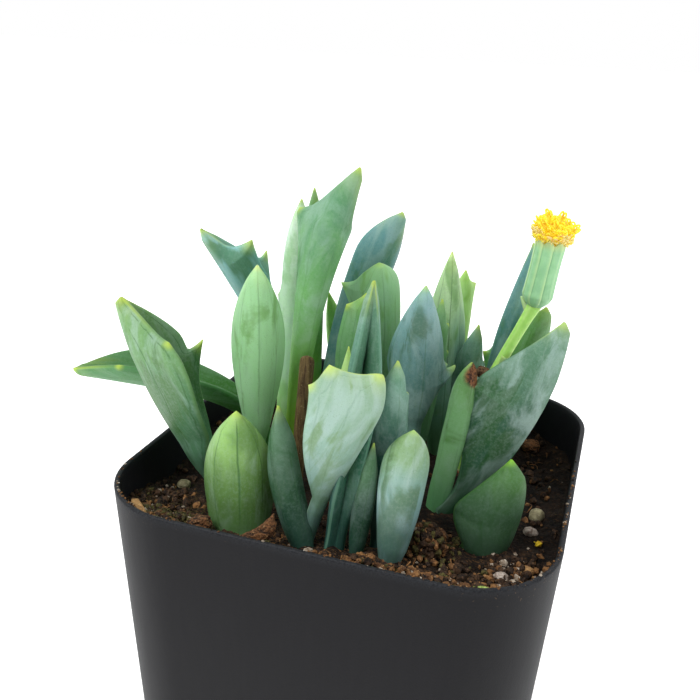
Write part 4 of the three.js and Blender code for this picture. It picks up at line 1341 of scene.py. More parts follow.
LEAFY_STEMS = (
    LeafyStem("front_left", (-9, -19.5), (
        Leaf((-9.4, -22.7), 17, 9, 125, 110, 4.9, 34, 3.4, Form.OVAL, Skin.FRESH, bow=0.5,
             stains=(Stain(0.84, -0.35, 1.8), Stain(0.35, -0.2, 1.4, 3, 0.7))),
    )),
    LeafyStem("front", (4, -18.5), (
        Leaf((-0.3, -23.3), 19.2, 22, 145, 140, 2.3, 48, 2.4, Form.LANCE, Skin.DUSK, bow=1),
        Leaf((-1.9, -21.2), 25.5, 19.4, 10, 176, 6.2, 68, 1.6, Form.GOBLET, Skin.MINT, bow=-0.6, sway=0.4, lop=0.2,
             sink=0.24, teeth=(Tooth(RIGHT, 0.92, 1.9), Tooth(RIGHT, 0.82, 0.9)),
             stains=(Stain(0.66, 0.35, 0.9, 4), Stain(0.62, 0.75, 0.7, 4), Stain(0.93, 0.5, 0.8))),
        Leaf((2.3, -22.1), 34, 17, 87, 300, 3.4, 64, 1.8, Form.BLADE, Skin.TEAL, bow=0.2),
        Leaf((4.9, -21.7), 15.2, 14, 80, 110, 1.4, 30, 1.6, Form.LANCE, Skin.DUSK),
        Leaf((6.8, -19.1), 24.2, 14, 93, 128, 3.8, 44, 2, Form.SPEAR, Skin.TEAL, bow=0.6,
             teeth=(Tooth(LEFT, 0.8, 0.9),)),
        Leaf((9.1, -22.4), 17.9, 14, 76, 115, 3.2, 36, 2.6, Form.SPOON, Skin.SILVER, bow=0.4,
             stains=(Stain(0.25, 0.1, 0.7, 5), Stain(0.6, -0.2, 0.7, 3))),
    )),
    LeafyStem("right", (14, -9.5), (
        Leaf((19.2, -13), 12.6, 11, 50, 130, 4.4, 34, 3.2, Form.HEART, Skin.DEEP, bow=0.8, sway=-0.4, lop=0.35),
        Leaf((12.2, -6.6), 30, 30, 38, 172, 8.6, 62, 2.6, Form.SPEAR, Skin.GREY, bow=3,
             teeth=(Tooth(RIGHT, 0.57, 1.1), Tooth(RIGHT, 0.44, 0.6), Tooth(LEFT, 0.7, 1.6)),
             stains=(Stain(0.6, 0.75, 1.5), Stain(0.4, 0.3, 1.6), Stain(0.5, 0.55, 0.8, 2.5))),
        Leaf((11.3, -6.9), 21.2, 13, 61, 120, 2.2, 62, 1.8, Form.STRAP, Skin.OLIVE, bow=0.5,
             burns=(Stain(0.93, -0.35, 1.3, 1.6),)),
    )),
    LeafyStem("left", (-16.5, -7.5), (
        Leaf((-13.9, -7.6), 31.5, 2, 285, 110, 4.1, 36, 2.6, Form.DROP, Skin.PALE, bow=0.4,
             stains=(Stain(0.72, 0.15, 0.5, 3, 0.8), Stain(0.8, -0.3, 0.5, 2, 0.7), Stain(0.2, 0.5, 0.6))),
        Leaf((-18, -9.8), 29.6, 25.4, 203, 12, 8, 56, 2.6, Form.WIDE, Skin.MEADOW, bow=1.5, lop=-0.26,
             teeth=(Tooth(LEFT, 0.8, 0.7), Tooth(RIGHT, 0.6, 2.7)), stains=(Stain(0.55, -0.4, 3, 2),)),
        Leaf((-16.3, 2.5), 31, 66.3, 203, 10, 4.9, 44, 2.2, Form.CUP, Skin.SHADE, bow=-4.8, bend=0.16, lift=60,
             lop=-0.15, teeth=(Tooth(LEFT, 0.86, 0.5),)),
    )),
    LeafyStem("tall", (-11.5, 1.5), (
        Leaf((-10.3, -3.3), 44.1, 10, 26, 130, 5.7, 58, 1.9, Form.FLARE, Skin.SEA, bow=-2.2,
             teeth=(Tooth(RIGHT, 0.81, 1), Tooth(LEFT, 0.81, 0.8)),
             stains=(Stain(0.7, -0.6, 2, 1.8), Stain(0.36, -0.1, 0.8, 7))),
        Leaf((-14.6, 4.1), 38.2, 4, 330, 112, 2.2, 30, 1.8, Form.STRAP, Skin.AQUA, teeth=(Tooth(RIGHT, 0.62, 0.5),)),
        Leaf((-12, 8.6), 38.8, 1, 223, 110, 1.6, 30, 1.8, Form.STRAP, Skin.SEA),
        Leaf((-11, 8.2), 38, 17, 8, 135, 4.2, 40, 2, Form.LADLE, Skin.BLUE, bow=-0.4),
    )),
    LeafyStem("centre", (-1.5, 1.5), (
        Leaf((-1, 6), 30.4, 4, 262, 125, 4.2, 34, 1.8, Form.CREST, Skin.HOOD, bow=-1.2,
             teeth=(Tooth(RIGHT, 0.86, 1.6),)),
        Leaf((-2.8, -1.4), 27.4, 3, 14, 150, 3.3, 46, 1.8, Form.STRAP, Skin.LEAF, teeth=(Tooth(RIGHT, 0.92, 0.7),)),
        Leaf((-2.6, -5), 22.4, 8, 294, 110, 1.5, 30, 1.6, Form.LANCE, Skin.ZEST),
    )),
    LeafyStem("centre_right", (7.5, 5.5), (
        Leaf((6.2, -1.1), 29.2, 2, 85, 112, 4.5, 36, 2.2, Form.KITE, Skin.STEEL, bow=0.5, lop=0.1,
             teeth=(Tooth(LEFT, 0.52, 2.8), Tooth(LEFT, 0.58, 1), Tooth(RIGHT, 0.5, 0.3)),
             stains=(Stain(0.8, 0.1, 1.2, 2), Stain(0.45, 0.45, 0.8, 3))),
        Leaf((7.8, 9.9), 31.3, 3, 115, 110, 3.4, 30, 2, Form.LANCE, Skin.SAGE),
        Leaf((5.6, 6), 25.6, 4, 27, 125, 2.6, 36, 1.6, Form.SPEAR, Skin.LEAF,
             teeth=(Tooth(LEFT, 0.82, 1), Tooth(LEFT, 0.66, 0.8))),
        Leaf((9.6, 10.2), 21.2, 7, 30, 120, 2.8, 30, 1.8, Form.SPEAR, Skin.TEAL, teeth=(Tooth(LEFT, 0.7, 0.6),)),
    )),
    LeafyStem("back_right", (12.5, 17), (
        Leaf((11.8, 17.2), 33.5, 11, 340, 170, 2.4, 50, 1.7, Form.LANCE, Skin.BLUE, bow=0.8),
        Leaf((14.8, 15), 25, 14, 349, 130, 3.1, 38, 2.2, Form.SPOON, Skin.LIME, bow=0.6),
        Leaf((7.2, 17.7), 27.4, 3, 323, 110, 1.9, 30, 1.6, Form.STRAP, Skin.ZEST, teeth=(Tooth(LEFT, 0.9, 0.9),)),
        Leaf((14.5, 20.5), 19, 20, 80, 260, 4.2, 40, 2.4, Form.SPEAR, Skin.SEA, bow=1.2,
             teeth=(Tooth(LEFT, 0.66, 0.8), Tooth(RIGHT, 0.64, 0.9))),
    )),
    LeafyStem("back_left", (-15, 13.5), (
        Leaf((-14.8, 12), 37.4, 27, 231, 40, 5.4, 60, 2, Form.CLAW, Skin.SKY, bow=-1.6, lift=30, lop=0.1,
             teeth=(Tooth(LEFT, 0.84, 3.2), Tooth(RIGHT, 0.68, 2.6)), stains=(Stain(0.86, -0.6, 2, 2),)),
        Leaf((-17, 17.4), 18, 24, 130, 310, 4, 36, 2.8, Form.OVAL, Skin.PALE, bow=0.8),
    )),
    LeafyStem("back", (-2, 17.5), (
        Leaf((-6.5, 15), 24, 15, 228, 110, 2.2, 30, 1.8, Form.LANCE, Skin.ZEST),
        Leaf((-4.5, 20), 20, 20, 110, 285, 5, 48, 2.4, Form.SPEAR, Skin.SEA, bow=1.2,
             teeth=(Tooth(LEFT, 0.62, 1), Tooth(RIGHT, 0.6, 0.8))),
        Leaf((2.5, 18.5), 22, 12, 60, 250, 3.6, 40, 2.4, Form.LANCE, Skin.FRESH, bow=0.8),
    )),
)

DRY_LEAF = Leaf((-7.6, -9.5), 20.3, 4, 50, 100, 1.1, 34, 0.9, Form.STUB)


# The soil


@dataclass(frozen=True)
class Swell:
    """A hollow or a mound of the soil: where it is, how wide and how high."""

    x: float
    y: float
    spread: float
    height: float


@dataclass(frozen=True)
class SoilBed:
    """The damp potting mix, with its crest along the front edge, its hollows and its crumbs."""

    pot: NurseryPot
    stems: tuple[LeafyStem, ...]
    level: float = 52.2
    crest_height: float = 3.2
    crest_reach: float = 5.0
    lumps: int = 90
    lump_height: float = 0.8
    lump_spread: Spot = (1.2, 2.6)
    seed: int = 7
    cells: int = 190
    coarse_rise: float = 0.6
    fine_rise: float = 0.34
    collar_height: float = 0.7
    proud: float = 0.25  # how far crumbs may stand above the rim
    dry_from: float = -12.0  # where the drier soil of the front starts
    moss_at: Spot = (-21, -20)
    moss_area: float = 60.0
    swells: tuple[Swell, ...] = (
        Swell(-22, -7, 8, -3.4),
        Swell(21, 17, 9, -4.2),
        Swell(-20, 19, 8, -3),
        Swell(12, -18.5, 3.2, 1.1),
    )

    def all_swells(self) -> list[Swell]:
        """The set swells and the seeded lumps, the same as in the solid model.

        Returns:
            The swells.
        """
        row = seeded(self.seed)
        reach = self.pot.rim_half
        made = list(self.swells)
        for _ in range(self.lumps):
            x, y = (2 * next(row) - 1) * reach, (2 * next(row) - 1) * reach
            spread = float(np.interp(next(row), (0, 1), self.lump_spread))
            made.append(Swell(x, y, spread, self.lump_height * (2 * next(row) - 1)))
        return made

    def height(self, x: Array, y: Array) -> Array:
        """The height of the soil, without its fine crumbs.

        Args:
            x: Places across the pot.
            y: Places from front to back.

        Returns:
            The height at each place.
        """
        total = self.level + self.crest_height * np.exp(-(y + self.pot.half(self.level)) / self.crest_reach)
        for swell in self.all_swells():
            total = total + swell.height * np.exp(-((x - swell.x) ** 2 + (y - swell.y) ** 2) / swell.spread**2)
        return np.minimum(total, self.pot.height - self.pot.rim_round)

    def surface(self) -> tuple[Array, Array]:
        """The crumbly top of the soil on a square net drawn into the rounded square of the pot.

        Returns:
            Its points as an array of rows by columns by 3, and their marks.
        """
        line = np.linspace(-1, 1, self.cells)
        u, v = np.meshgrid(line, line, indexing="ij")
        square = 1 / np.maximum(np.maximum(abs(u), abs(v)) / np.maximum(np.hypot(u, v), 1e-9), 1e-9)
        angle = np.arctan2(v, u)
        radius = np.hypot(u, v) / square
        reach = self.pot.reach(angle.ravel(), self.level, self.pot.wall).reshape(u.shape)
        x, y = radius * reach * np.cos(angle), radius * reach * np.sin(angle)
        smooth = self.height(x, y)
        flat = np.column_stack([x.ravel(), y.ravel(), np.zeros(x.size)])
        coarse = relief(flat, 2.6, 4, 3.1).reshape(x.shape)
        crumbs = relief(flat, 0.9, 3, 9.4).reshape(x.shape)
        rise = self.coarse_rise * coarse + self.fine_rise * np.abs(crumbs)
        collar = np.zeros_like(x)
        for stem in self.stems:
            for leaf in stem.leaves:
                away = (x - leaf.at[0]) ** 2 + (y - leaf.at[1]) ** 2
                heaped = self.collar_height * np.exp(-away / (0.6 * leaf.half + 1.2) ** 2)
                collar = np.maximum(collar, heaped)
        z = np.minimum(smooth + rise + collar, self.pot.height + self.proud)
        fitted = (self.pot.half(z) - self.pot.wall + 0.05) / (self.pot.half(self.level) - self.pot.wall)
        grid = np.stack([x * fitted, y * fitted, z], axis=2)
        dry = np.clip((self.dry_from - y) / 10, 0, 1)
        raised = np.clip(0.5 + rise, 0, 1)
        mossy = np.exp(-((x - self.moss_at[0]) ** 2 + (y - self.moss_at[1]) ** 2) / self.moss_area)
        return grid, np.stack([raised, dry, mossy], axis=2)

    def build(self) -> Thing:
        """Makes the bed as one closed body.

        Returns:
            The piece.
        """
        grid, marks = self.surface()
        many = self.cells
        edge = [(0, j) for j in range(many)] + [(i, many - 1) for i in range(1, many)]
        edge += [(many - 1, j) for j in range(many - 2, -1, -1)] + [(i, 0) for i in range(many - 2, 0, -1)]
        rows, columns = np.array(edge).T
        rim = grid[rows, columns]
        bottom_level = self.pot.floor + 0.35
        shrink = (self.pot.half(bottom_level) - self.pot.wall) / (self.pot.half(rim[:, 2:]) - self.pot.wall)
        lower = np.column_stack([rim[:, :2] * shrink, np.full(len(rim), bottom_level)])
        corners = np.vstack([grid.reshape(-1, 3), lower, [0, 0, bottom_level]])
        faces: list[tuple[int, ...]] = []
        for i in range(many - 1):
            for j in range(many - 1):
                first = i * many + j
                faces.append((first, first + many, first + many + 1, first + 1))
        top, below, centre = rows * many + columns, many * many, len(corners) - 1
        for k in range(len(edge)):
            after = (k + 1) % len(edge)
            faces.append((int(top[k]), int(top[after]), below + after, below + k))
            faces.append((below + k, below + after, centre))
        spread = np.vstack([marks.reshape(-1, 3), np.zeros((len(lower) + 1, 3))])
        shell = Shell()
        shell.add(corners, faces, soil_mark=spread)
        return shell.piece("soil_bed", [PottingMix().material("potting_mix")], "soil", ["soil"])


# The litter on the soil


class Litter(Enum):
    """What lies loose on the soil: its finish."""

    PEAT = Fibrous(Paint(22, 15, 11), Paint(72, 50, 32), Paint(124, 90, 56), scale=1.1)
    FIBRE = Fibrous(Paint(82, 54, 32), Paint(144, 102, 60), Paint(190, 150, 100), scale=0.9)
    GRIT = Fibrous(Paint(120, 102, 84), Paint(190, 176, 158), Paint(230, 224, 214), scale=1.3)
    MOSS = Fibrous(Paint(48, 44, 24), Paint(94, 86, 44), Paint(142, 130, 72), scale=1.8)
    SPECK = Fibrous(Paint(220, 170, 20), Paint(250, 214, 50), Paint(255, 232, 120), scale=3.0)


@dataclass(frozen=True)
class Strewn:
    """Loose litter: which, how many, its least and largest half size, how finely cut, and how often in front."""

    finish: int
    many: int
    least: float
    most: float
    detail: int
    front: float


@dataclass(frozen=True)
class Drift:
    """A heap of loose crumbs: its middle, its spread, how many, how high, how much of each litter, and its clod."""

    x: float
    y: float
    spread_x: float
    spread_y: float
    many: int
    heap: float
    mixture: tuple[float, ...]
    clod: float = 0.0


@dataclass(frozen=True)
class Scatter:
    """Loose crumbs, fibres and grit, strewn over the soil by a seeded hand."""

    bed: SoilBed
    seed: int = 23
    strewn: tuple[Strewn, ...] = (
        Strewn(0, 900, 0.2, 0.62, 2, 0.5),
        Strewn(1, 420, 0.14, 0.45, 2, 0.75),
        Strewn(2, 90, 0.12, 0.3, 1, 0.6),
    )
    drifts: tuple[Drift, ...] = (
        Drift(-22, -18, 3.6, 3.4, 260, 0.5, (7, 1, 0.2, 0.5)),
        Drift(-18, -23.8, 3, 1.3, 320, 1.1, (3, 2, 0.2, 3)),
        Drift(-24, -23.6, 1.6, 1.4, 160, 1.2, (3, 2, 1, 1)),
        Drift(-25.2, -25.4, 1.1, 1.1, 200, 2.6, (3, 3, 2, 0.5)),
        Drift(12.4, -17.2, 2.2, 2.2, 520, 0.6, (4, 3, 0.2, 2.5), 2.3),
        Drift(11, -25.6, 7.5, 1.2, 900, 1.6, (4, 5, 0.5, 0.4)),
        Drift(23.5, -20, 2.4, 4, 420, 1.1, (5, 3, 1, 0.2)),
        Drift(-7, -26.2, 4, 0.8, 260, 1, (4, 2, 0.2, 0.2)),
        Drift(25.3, -9.6, 0.4, 0.4, 3, 0.3, (0, 0, 0, 0, 1)),
    )
    threads: int = 240
    thread_shape: tuple[float, ...] = (0.4, 1, 1, 1, 1, 1, 0.3)
    moss_middle: Spot = (-19, -22.6)
    moss_spread: Spot = (3, 1.2)
    rim_specks: int = 110
    rim_arcs: tuple[Spot, ...] = ((-135, 8), (-60, 24), (-20, 14))
    rim_inset: Spot = (0.34, 0.65)
    rim_size: Spot = (0.06, 0.2)
    rim_kinds: tuple[int, ...] = (0, 1, 1, 2)

    def level(self, x: float, y: float) -> float:
        """The height of the soil at one place."""
        return float(self.bed.height(np.array(x), np.array(y)))

    def inside(self, x: float, y: float, inset: float) -> bool:
        """Whether a place lies far enough from the wall."""
        reach = self.bed.pot.reach(np.array([atan2(y, x)]), self.bed.level, self.bed.pot.wall + inset)
        return bool(hypot(x, y) < reach[0])

    def spot(self, random: Random, front: float, inset: float) -> Array:
        """A place on the soil.

        Args:
            random: The seeded hand.
            front: The chance that it lies in the strip along the front.
            inset: How far it stays from the wall.

        Returns:
            The point on the surface.
        """
        half = self.bed.pot.rim_half
        while True:
            x, y = random.uniform(-half, half), random.uniform(-half, half)
            if random.random() < front:
                y = -half + abs(random.gauss(0, 1)) * 5
            if self.inside(x, y, inset):
                return point(x, y, self.level(x, y))

    def lump(self, random: Random, shell: Shell, where: Array, size: float, detail: int, finish: int) -> None:
        """Adds an irregular crumb.

        Args:
            random: The seeded hand.
            shell: The piece that takes it.
            where: Its middle.
            size: Its half size.
            detail: How finely it is divided.
            finish: Which finish it has.
        """
        corners, faces = ball(detail)
        rough = 1 + 0.5 * relief(corners + 9 * random.random(), 0.8, 3)
        stretch = point(*(random.uniform(0.55, 1.35) for _ in range(3)))
        spin = np.array(Matrix.Rotation(random.uniform(0, 6.28), 3, (random.random(), random.random(), 0.3)))
        shell.add((corners * rough[:, None] * stretch * size) @ spin.T + where, faces, finish)

    def heap(self, random: Random, shell: Shell, drift: Drift) -> None:
        """Adds a drift of crumbs, round a clod if it has one.

        Args:
            random: The seeded hand.
            shell: The piece that takes it.
            drift: The drift.
        """
        middle = point(drift.x, drift.y, self.level(drift.x, drift.y) + 0.35 * drift.clod)
        if drift.clod:
            corners, faces = ball(5)
            rough = 1 + 0.3 * relief(corners, 0.7, 3) + 0.14 * relief(corners, 0.2, 3)
            shell.add(corners * rough[:, None] * drift.clod + middle, faces, 0)
        for number in range(drift.many):
            x, y = drift.x + random.gauss(0, drift.spread_x), drift.y + random.gauss(0, drift.spread_y)
            far = ((x - drift.x) / drift.spread_x) ** 2 + ((y - drift.y) / drift.spread_y) ** 2
            where = point(x, y, self.level(x, y) + 0.3 + drift.heap * exp(-0.4 * far) * random.random())
            if drift.clod and number % 2:
                out = unit(point(*(random.gauss(0, 1) for _ in range(3))))
                where = middle + point(out[0], out[1], abs(out[2])) * drift.clod * random.uniform(0.9, 1.1)
            if self.inside(where[0], where[1], 0.35):
                where[2] = min(where[2], self.bed.pot.height + 0.2)
                size = 0.13 + 0.4 * random.random() ** 2
                finish = random.choices(range(len(drift.mixture)), drift.mixture)[0]
                self.lump(random, shell, where, size, 2 if size > 0.3 else 1, finish)

    def thread(self, random: Random, shell: Shell, mossy: bool) -> None:
        """Adds a fine fibre, where there is room for it.

        Args:
            random: The seeded hand.
            shell: The piece that takes it.
            mossy: Whether it belongs to the moss in the left corner.
        """
        if mossy:
            x, y = (m + random.gauss(0, spread) for m, spread in zip(self.moss_middle, self.moss_spread))
            start = point(x, y, 0)
        else:
            start = self.spot(random, 0.6, 1.2)
        turn, length, lift = random.uniform(0, 360), random.uniform(1, 2.6), random.uniform(0.1, 0.6)
        bowed = heading(turn + 90) * random.uniform(-0.25, 0.25) * length
        stops = [start, start + heading(turn) * length * 0.5 + bowed, start + heading(turn) * length]
        if all(self.inside(x, y, 1.3) for x, y, _ in stops):
            laid = [(x, y, self.level(x, y) + 0.4 + rise) for (x, y, _), rise in zip(stops, (0, lift, 0))]
            width = random.uniform(0.05, 0.12)
            radii = [share * width for share in self.thread_shape]
            shell.tube(smooth_route(laid, len(radii)), radii, 5, int(mossy), 0.6)

    def build(self) -> list[Thing]:
        """Makes the crumbs and the fibres.

        Returns:
            The pieces.
        """
        random = Random(self.seed)
        finishes = [kind.value.material(f"litter_{kind.name.lower()}") for kind in Litter]
        crumbs, drifts, threads = Shell(), Shell(), Shell()
        for kind in self.strewn:
            for _ in range(kind.many):
                size = kind.least + (kind.most - kind.least) * random.random() ** 2
                where = self.spot(random, kind.front, 0.4) + point(0, 0, 0.25 + 0.3 * size)
                self.lump(random, crumbs, where, size, kind.detail, kind.finish)
        for drift in self.drifts:
            self.heap(random, drifts, drift)
        for _ in range(self.rim_specks):
            angle = radians(random.gauss(*random.choice(self.rim_arcs)))
            inset = random.uniform(*self.rim_inset)
            away = float(self.bed.pot.reach(np.array([angle]), self.bed.pot.height, inset)[0])
            where = point(away * cos(angle), away * sin(angle), self.bed.pot.height)
            self.lump(random, drifts, where, random.uniform(*self.rim_size), 1, random.choice(self.rim_kinds))
        for number in range(self.threads):
            self.thread(random, threads, number % 2 > 0)
        return [
            crumbs.piece("soil_crumbs", finishes, "soil", smooth=False),
            drifts.piece("soil_drifts", finishes, "soil", smooth=False),
            threads.piece("soil_fibres", [finishes[1], finishes[3]], "soil"),
        ]


@dataclass(frozen=True)
class Bit:
    """A small thing that lies in the soil: where, how far its middle stands above it, half sizes and turns.

    layered is how deep its strands stand out, and lifted how far one end is raised.
    """

    node: str
    slot: str
    at: Spot
    rise: float
    size: Point
    turn: Point
    finish: Fibrous
    layered: float = 0.0
    detail: int = 4
    lifted: float = 0.0

    def build(self, bed: SoilBed, seed: int) -> Thing:
        """Makes the bit in its place on the soil; the seed sets its shape."""
        x, y = self.at
        return self.shaped(point(x, y, float(bed.height(np.array(x), np.array(y))) + self.rise), seed)

    def shaped(self, centre: Array, seed: int) -> Thing:
        """Makes the bit round a middle.

        Args:
            centre: Its middle.
            seed: Sets its shape.

        Returns:
            The piece.
        """
        corners, faces = ball(self.detail)
        power = 0.6 if self.layered else 0.95
        boxed = np.sign(corners) * np.abs(corners) ** power
        lumps = 1 + 0.14 * relief(corners, 0.9, 3, seed * 3.7)
        made = boxed * lumps[:, None] * np.array(self.size)
        if self.layered:
            strands = relief(made * np.array([0.25, 1.6, 1.6]), 0.5, 3, seed * 1.9)
            made = made + (corners * point(0.1, 1, 1)) * (self.layered * strands)[:, None]
            share = made[:, 0] / self.size[0]
            made[:, 2] *= 0.5 + 0.3 * np.clip(0.5 + 0.5 * share, 0, 1)
            made[:, 2] += self.lifted * np.clip(share, 0, 1) ** 2
        spin = np.identity(3)
        for axis, angle in zip("XYZ", self.turn):
            spin = spin @ np.array(Matrix.Rotation(radians(angle), 3, axis))
        shell = Shell()
        shell.add(made @ spin.T + centre, faces)
        return shell.piece(f"{self.node}_piece", [self.finish.material(f"{self.node}_finish")], self.slot, [self.node])


BARK = Fibrous(Paint(40, 27, 19), Paint(136, 92, 56), Paint(196, 152, 104), (0.35, 2.6, 2.6), 1.0, depth=0.4)
STRAW = Fibrous(Paint(136, 98, 60), Paint(190, 148, 96), Paint(216, 186, 140), (0.3, 2.2, 2.2), 1.6, depth=0.2)
STONE = Fibrous(Paint(128, 110, 98), Paint(190, 176, 164), Paint(222, 214, 206), scale=1.4, depth=0.2)
PERLITE = Fibrous(Paint(120, 112, 84), Paint(166, 158, 124), Paint(196, 190, 160), scale=1.2, rough=0.75, depth=0.15)
SCRAP = Fibrous(Paint(120, 142, 62), Paint(178, 200, 112), Paint(214, 220, 150), scale=1.1, rough=0.6, depth=0.1)
WITHERED = Fibrous(Paint(52, 34, 24), Paint(126, 96, 68), Paint(176, 148, 112), (2.0, 2.0, 0.5), 1.8, depth=0.25)

BITS = (
    Bit("bark_chip_large", "bark", (-5.7, -25.9), 2, (3.2, 0.8, 1.2), (0, -28, 6), BARK, 0.22, 5, 1.5),
    Bit("bark_chip_small", "bark", (-13.7, -25), 1.4, (1.6, 0.9, 1.2), (0, -15, -15), BARK, 0.2, 5, 0.4),
    Bit("bark_chip_back", "bark", (20.5, 22.5), 0.6, (1.5, 1.1, 1.5), (0, 20, 30), BARK, 0.2, 5),
    Bit("straw_piece", "straw", (-22.6, -24.1), 1.2, (2, 0.6, 0.5), (0, 8, -41), STRAW, 0.1, 5),
    Bit("perlite_left", "stone", (-24.6, -9.4), 0.35, (1, 0.9, 0.8), (0, 0, 20), PERLITE),
    Bit("perlite_right", "stone", (24.2, -3), 0.35, (1.1, 1, 0.9), (0, 0, 50), PERLITE),
    Bit("stone_right", "stone", (24, -7.4), 0.3, (1, 0.8, 0.8), (0, 15, 0), STONE),
    Bit("stone_front", "stone", (22, -19.6), 0.4, (1, 0.9, 0.9), (0, 0, 35), STONE),
    Bit("crumb_front", "straw", (24.6, -16.6), 0.35, (1, 0.8, 0.7), (0, 0, 65), STRAW),
    Bit("leaf_scrap_right", "scrap", (20.4, -23.4), 0.35, (1.3, 0.7, 0.5), (0, 0, 12), SCRAP),
    Bit("leaf_scrap_front", "scrap", (6.6, -25.3), 0.35, (0.8, 0.6, 0.6), (0, 0, 60), SCRAP),
)

WITHERED_BUDS = (
    (Bit("withered_bud_left", "dry", (0, 0), 0, (0.9, 0.8, 1.2), (10, 25, 0), WITHERED, 0.2), (13.6, 7.8, 67.3)),
    (Bit("withered_bud_right", "dry", (0, 0), 0, (0.9, 0.8, 1), (0, -30, 20), WITHERED, 0.2), (17.5, 8.6, 68.9)),
)


@dataclass(frozen=True)
class DriedStrip:
    """A dead leaf, dried to a brown strip with a ragged top."""

    leaf: Leaf = DRY_LEAF
    finish: Fibrous = Fibrous(
        Paint(78, 60, 38), Paint(126, 104, 66), Paint(160, 138, 96), (2.6, 2.6, 0.22), 1.5, 0.75, 0.25
    )

    def build(self) -> Thing:
        """Makes the strip.

        Returns:
            The piece.
        """
        shell = Shell()
        self.leaf.add_to(shell, self.leaf.at, 0.4, 0)
        return shell.piece("dry_leaf_strip", [self.finish.material("dried_leaf")], "dry", ["dry_leaf"])


# The flower


@dataclass(frozen=True)
class FlowerHead:
    """The stalk, the ribbed cup of eight pressed bracts, and the curled florets that stand in it."""

    route: tuple[Point, ...] = ((11.5, 7.5, 43), (11.8, 8, 53), (13, 8.8, 61), (15.5, 9.6, 68), (19.4, 10.4, 77.4))
    stalk_radius: float = 0.8
    base: Point = (19.4, 10.4, 77.2)
    top: Point = (20.5, 10.8, 86.5)
    ribs: int = 8
    rib_points: int = 18
    rib_depth: float = 0.06
    tip_height: float = 0.35
    cup_depth: float = 2.2
    cup_radius: float = 1.35
    profile: tuple[Spot, ...] = ((0, 0.95), (0.07, 1.65), (0.16, 2), (0.32, 1.95), (0.62, 1.9), (0.86, 1.95), (1, 2))
    floret_reach: Spot = (2.2, 3.3)
    floret_count: int = 46
    floret_radii: tuple[float, ...] = (0.16, 0.17, 0.18, 0.2, 0.25, 0.32, 0.38, 0.3)
    outer_count: int = 34
    outer_radii: tuple[float, ...] = (0.16, 0.18, 0.2, 0.22, 0.22, 0.18)
    withered_share: float = 0.7
    splay: float = 62.0
    seed: int = 11

    RIM_RINGS = ((0.0, 1.95, 1.35), (-0.1, 1.8, 1.2), (-0.5, 1.6, 0.9))
    LOBES = 5

    def frame(self) -> tuple[Array, Array, Array, Array, float]:
        """How the head stands.

        Returns:
            Its base, its axis, two ways across it, and its length.
        """
        base, top = point(*self.base), point(*self.top)
        length = float(np.linalg.norm(top - base))
        axis = (top - base) / length
        side = unit(np.cross(point(0, 1, 0), axis))
        return base, axis, side, np.cross(axis, side), length

    def spot(self, along: Array, radius: Array, angle: Array) -> Array:
        """Points round the axis of the head.

        Args:
            along: How far each lies from the base.
            radius: How far from the axis.
            angle: At what angle round it.

        Returns:
            The points.
        """
        base, axis, side, front, _ = self.frame()
        out = np.cos(angle)[..., None] * side + np.sin(angle)[..., None] * front
        return base + along[..., None] * axis + radius[..., None] * out

    def build_stalk(self) -> Thing:
        """Makes the stalk, the cup of bracts and the small bract at its foot as one piece.

        Returns:
            The piece.
        """
        shell = Shell()
        route = smooth_route(self.route, 60)
        swelling = [self.stalk_radius * (1 + 0.35 * max(0.0, (i - 52) / 8) ** 2) for i in range(60)]
        rings = tube_rings(route, swelling, 20)
        ridged = np.zeros(rings.shape)
        ridged[:, ::5, 0] = 0.6
        shell.loft(rings, (route[0], route[-1]), 0, bract_mark=ridged)
        self.add_involucre(shell)
        self.add_bract(shell)
        green = SoftGreen(Paint(156, 220, 100), Paint(190, 242, 126), Paint(210, 246, 156)).material("stalk_skin")
        bract = SoftGreen(Paint(132, 190, 138), Paint(164, 216, 164), Paint(196, 228, 164)).material("bract_skin")
        return shell.piece("flower_stalk_and_cup", [green, bract], "stalk", ["flower_stalk"])

    def add_involucre(self, shell: Shell) -> None:
        """Adds the cup: broad bracts whose margins lap over the next one, with a pointed tip on each.

        Args:
            shell: The piece that takes it.
        """
        length = self.frame()[4]
        count = self.ribs * self.rib_points
        steps = np.arange(count)
        angle = (steps / count - 0.5 / self.ribs) * 2 * pi
        across = steps % self.rib_points / self.rib_points
        lap = np.interp(across, (0, 0.1, 0.3, 0.6, 0.88, 0.95, 1), (-0.9, -0.2, 0.5, 1, 0.75, 0.3, -0.9))
        margin = np.interp(across, (0, 0.7, 0.9, 0.96, 1), (0, 0, 0.8, 0.8, 0))
        # middle: the grooves between the bracts, for painted shade, and faintly each bract's middle.
        middle = np.interp(across, (0, 0.03, 0.1, 0.5, 1), (0.8, 0.8, 0.1, 0.25, 0))
        wave = 1 - 4 * np.abs(across - 0.5)
        known, radii = np.array(self.profile).T
        rings, marks = [], []
        for share in np.concatenate([np.linspace(0, 0.16, 9), np.linspace(0.2, 0.98, 22)]):
            depth = self.rib_depth * min(1, share / 0.12)
            tip = self.tip_height * max(0.0, (share - 0.86) / 0.14)
            radius = np.interp(share, known, radii) * (1 + depth * lap)
            rings.append(self.spot(share * length + tip * wave, radius, angle))
            marks.append(np.column_stack([margin, np.full(count, share), middle * min(1, share / 0.3)]))
        for along, radius, tip in (*self.RIM_RINGS, (-self.cup_depth, self.cup_radius, 0)):
            flat = self.rib_depth if tip > 1 else 0.0
            rings.append(self.spot(length + along + self.tip_height * tip * wave, radius * (1 + flat * lap), angle))
            marks.append(np.column_stack([np.zeros(count), np.ones(count), np.zeros(count)]))
        ends = self.spot(np.array([-0.4, length - self.cup_depth]), np.zeros(2), np.zeros(2))
        shell.loft(np.array(rings), (ends[0], ends[1]), 1, bract_mark=np.array(marks))

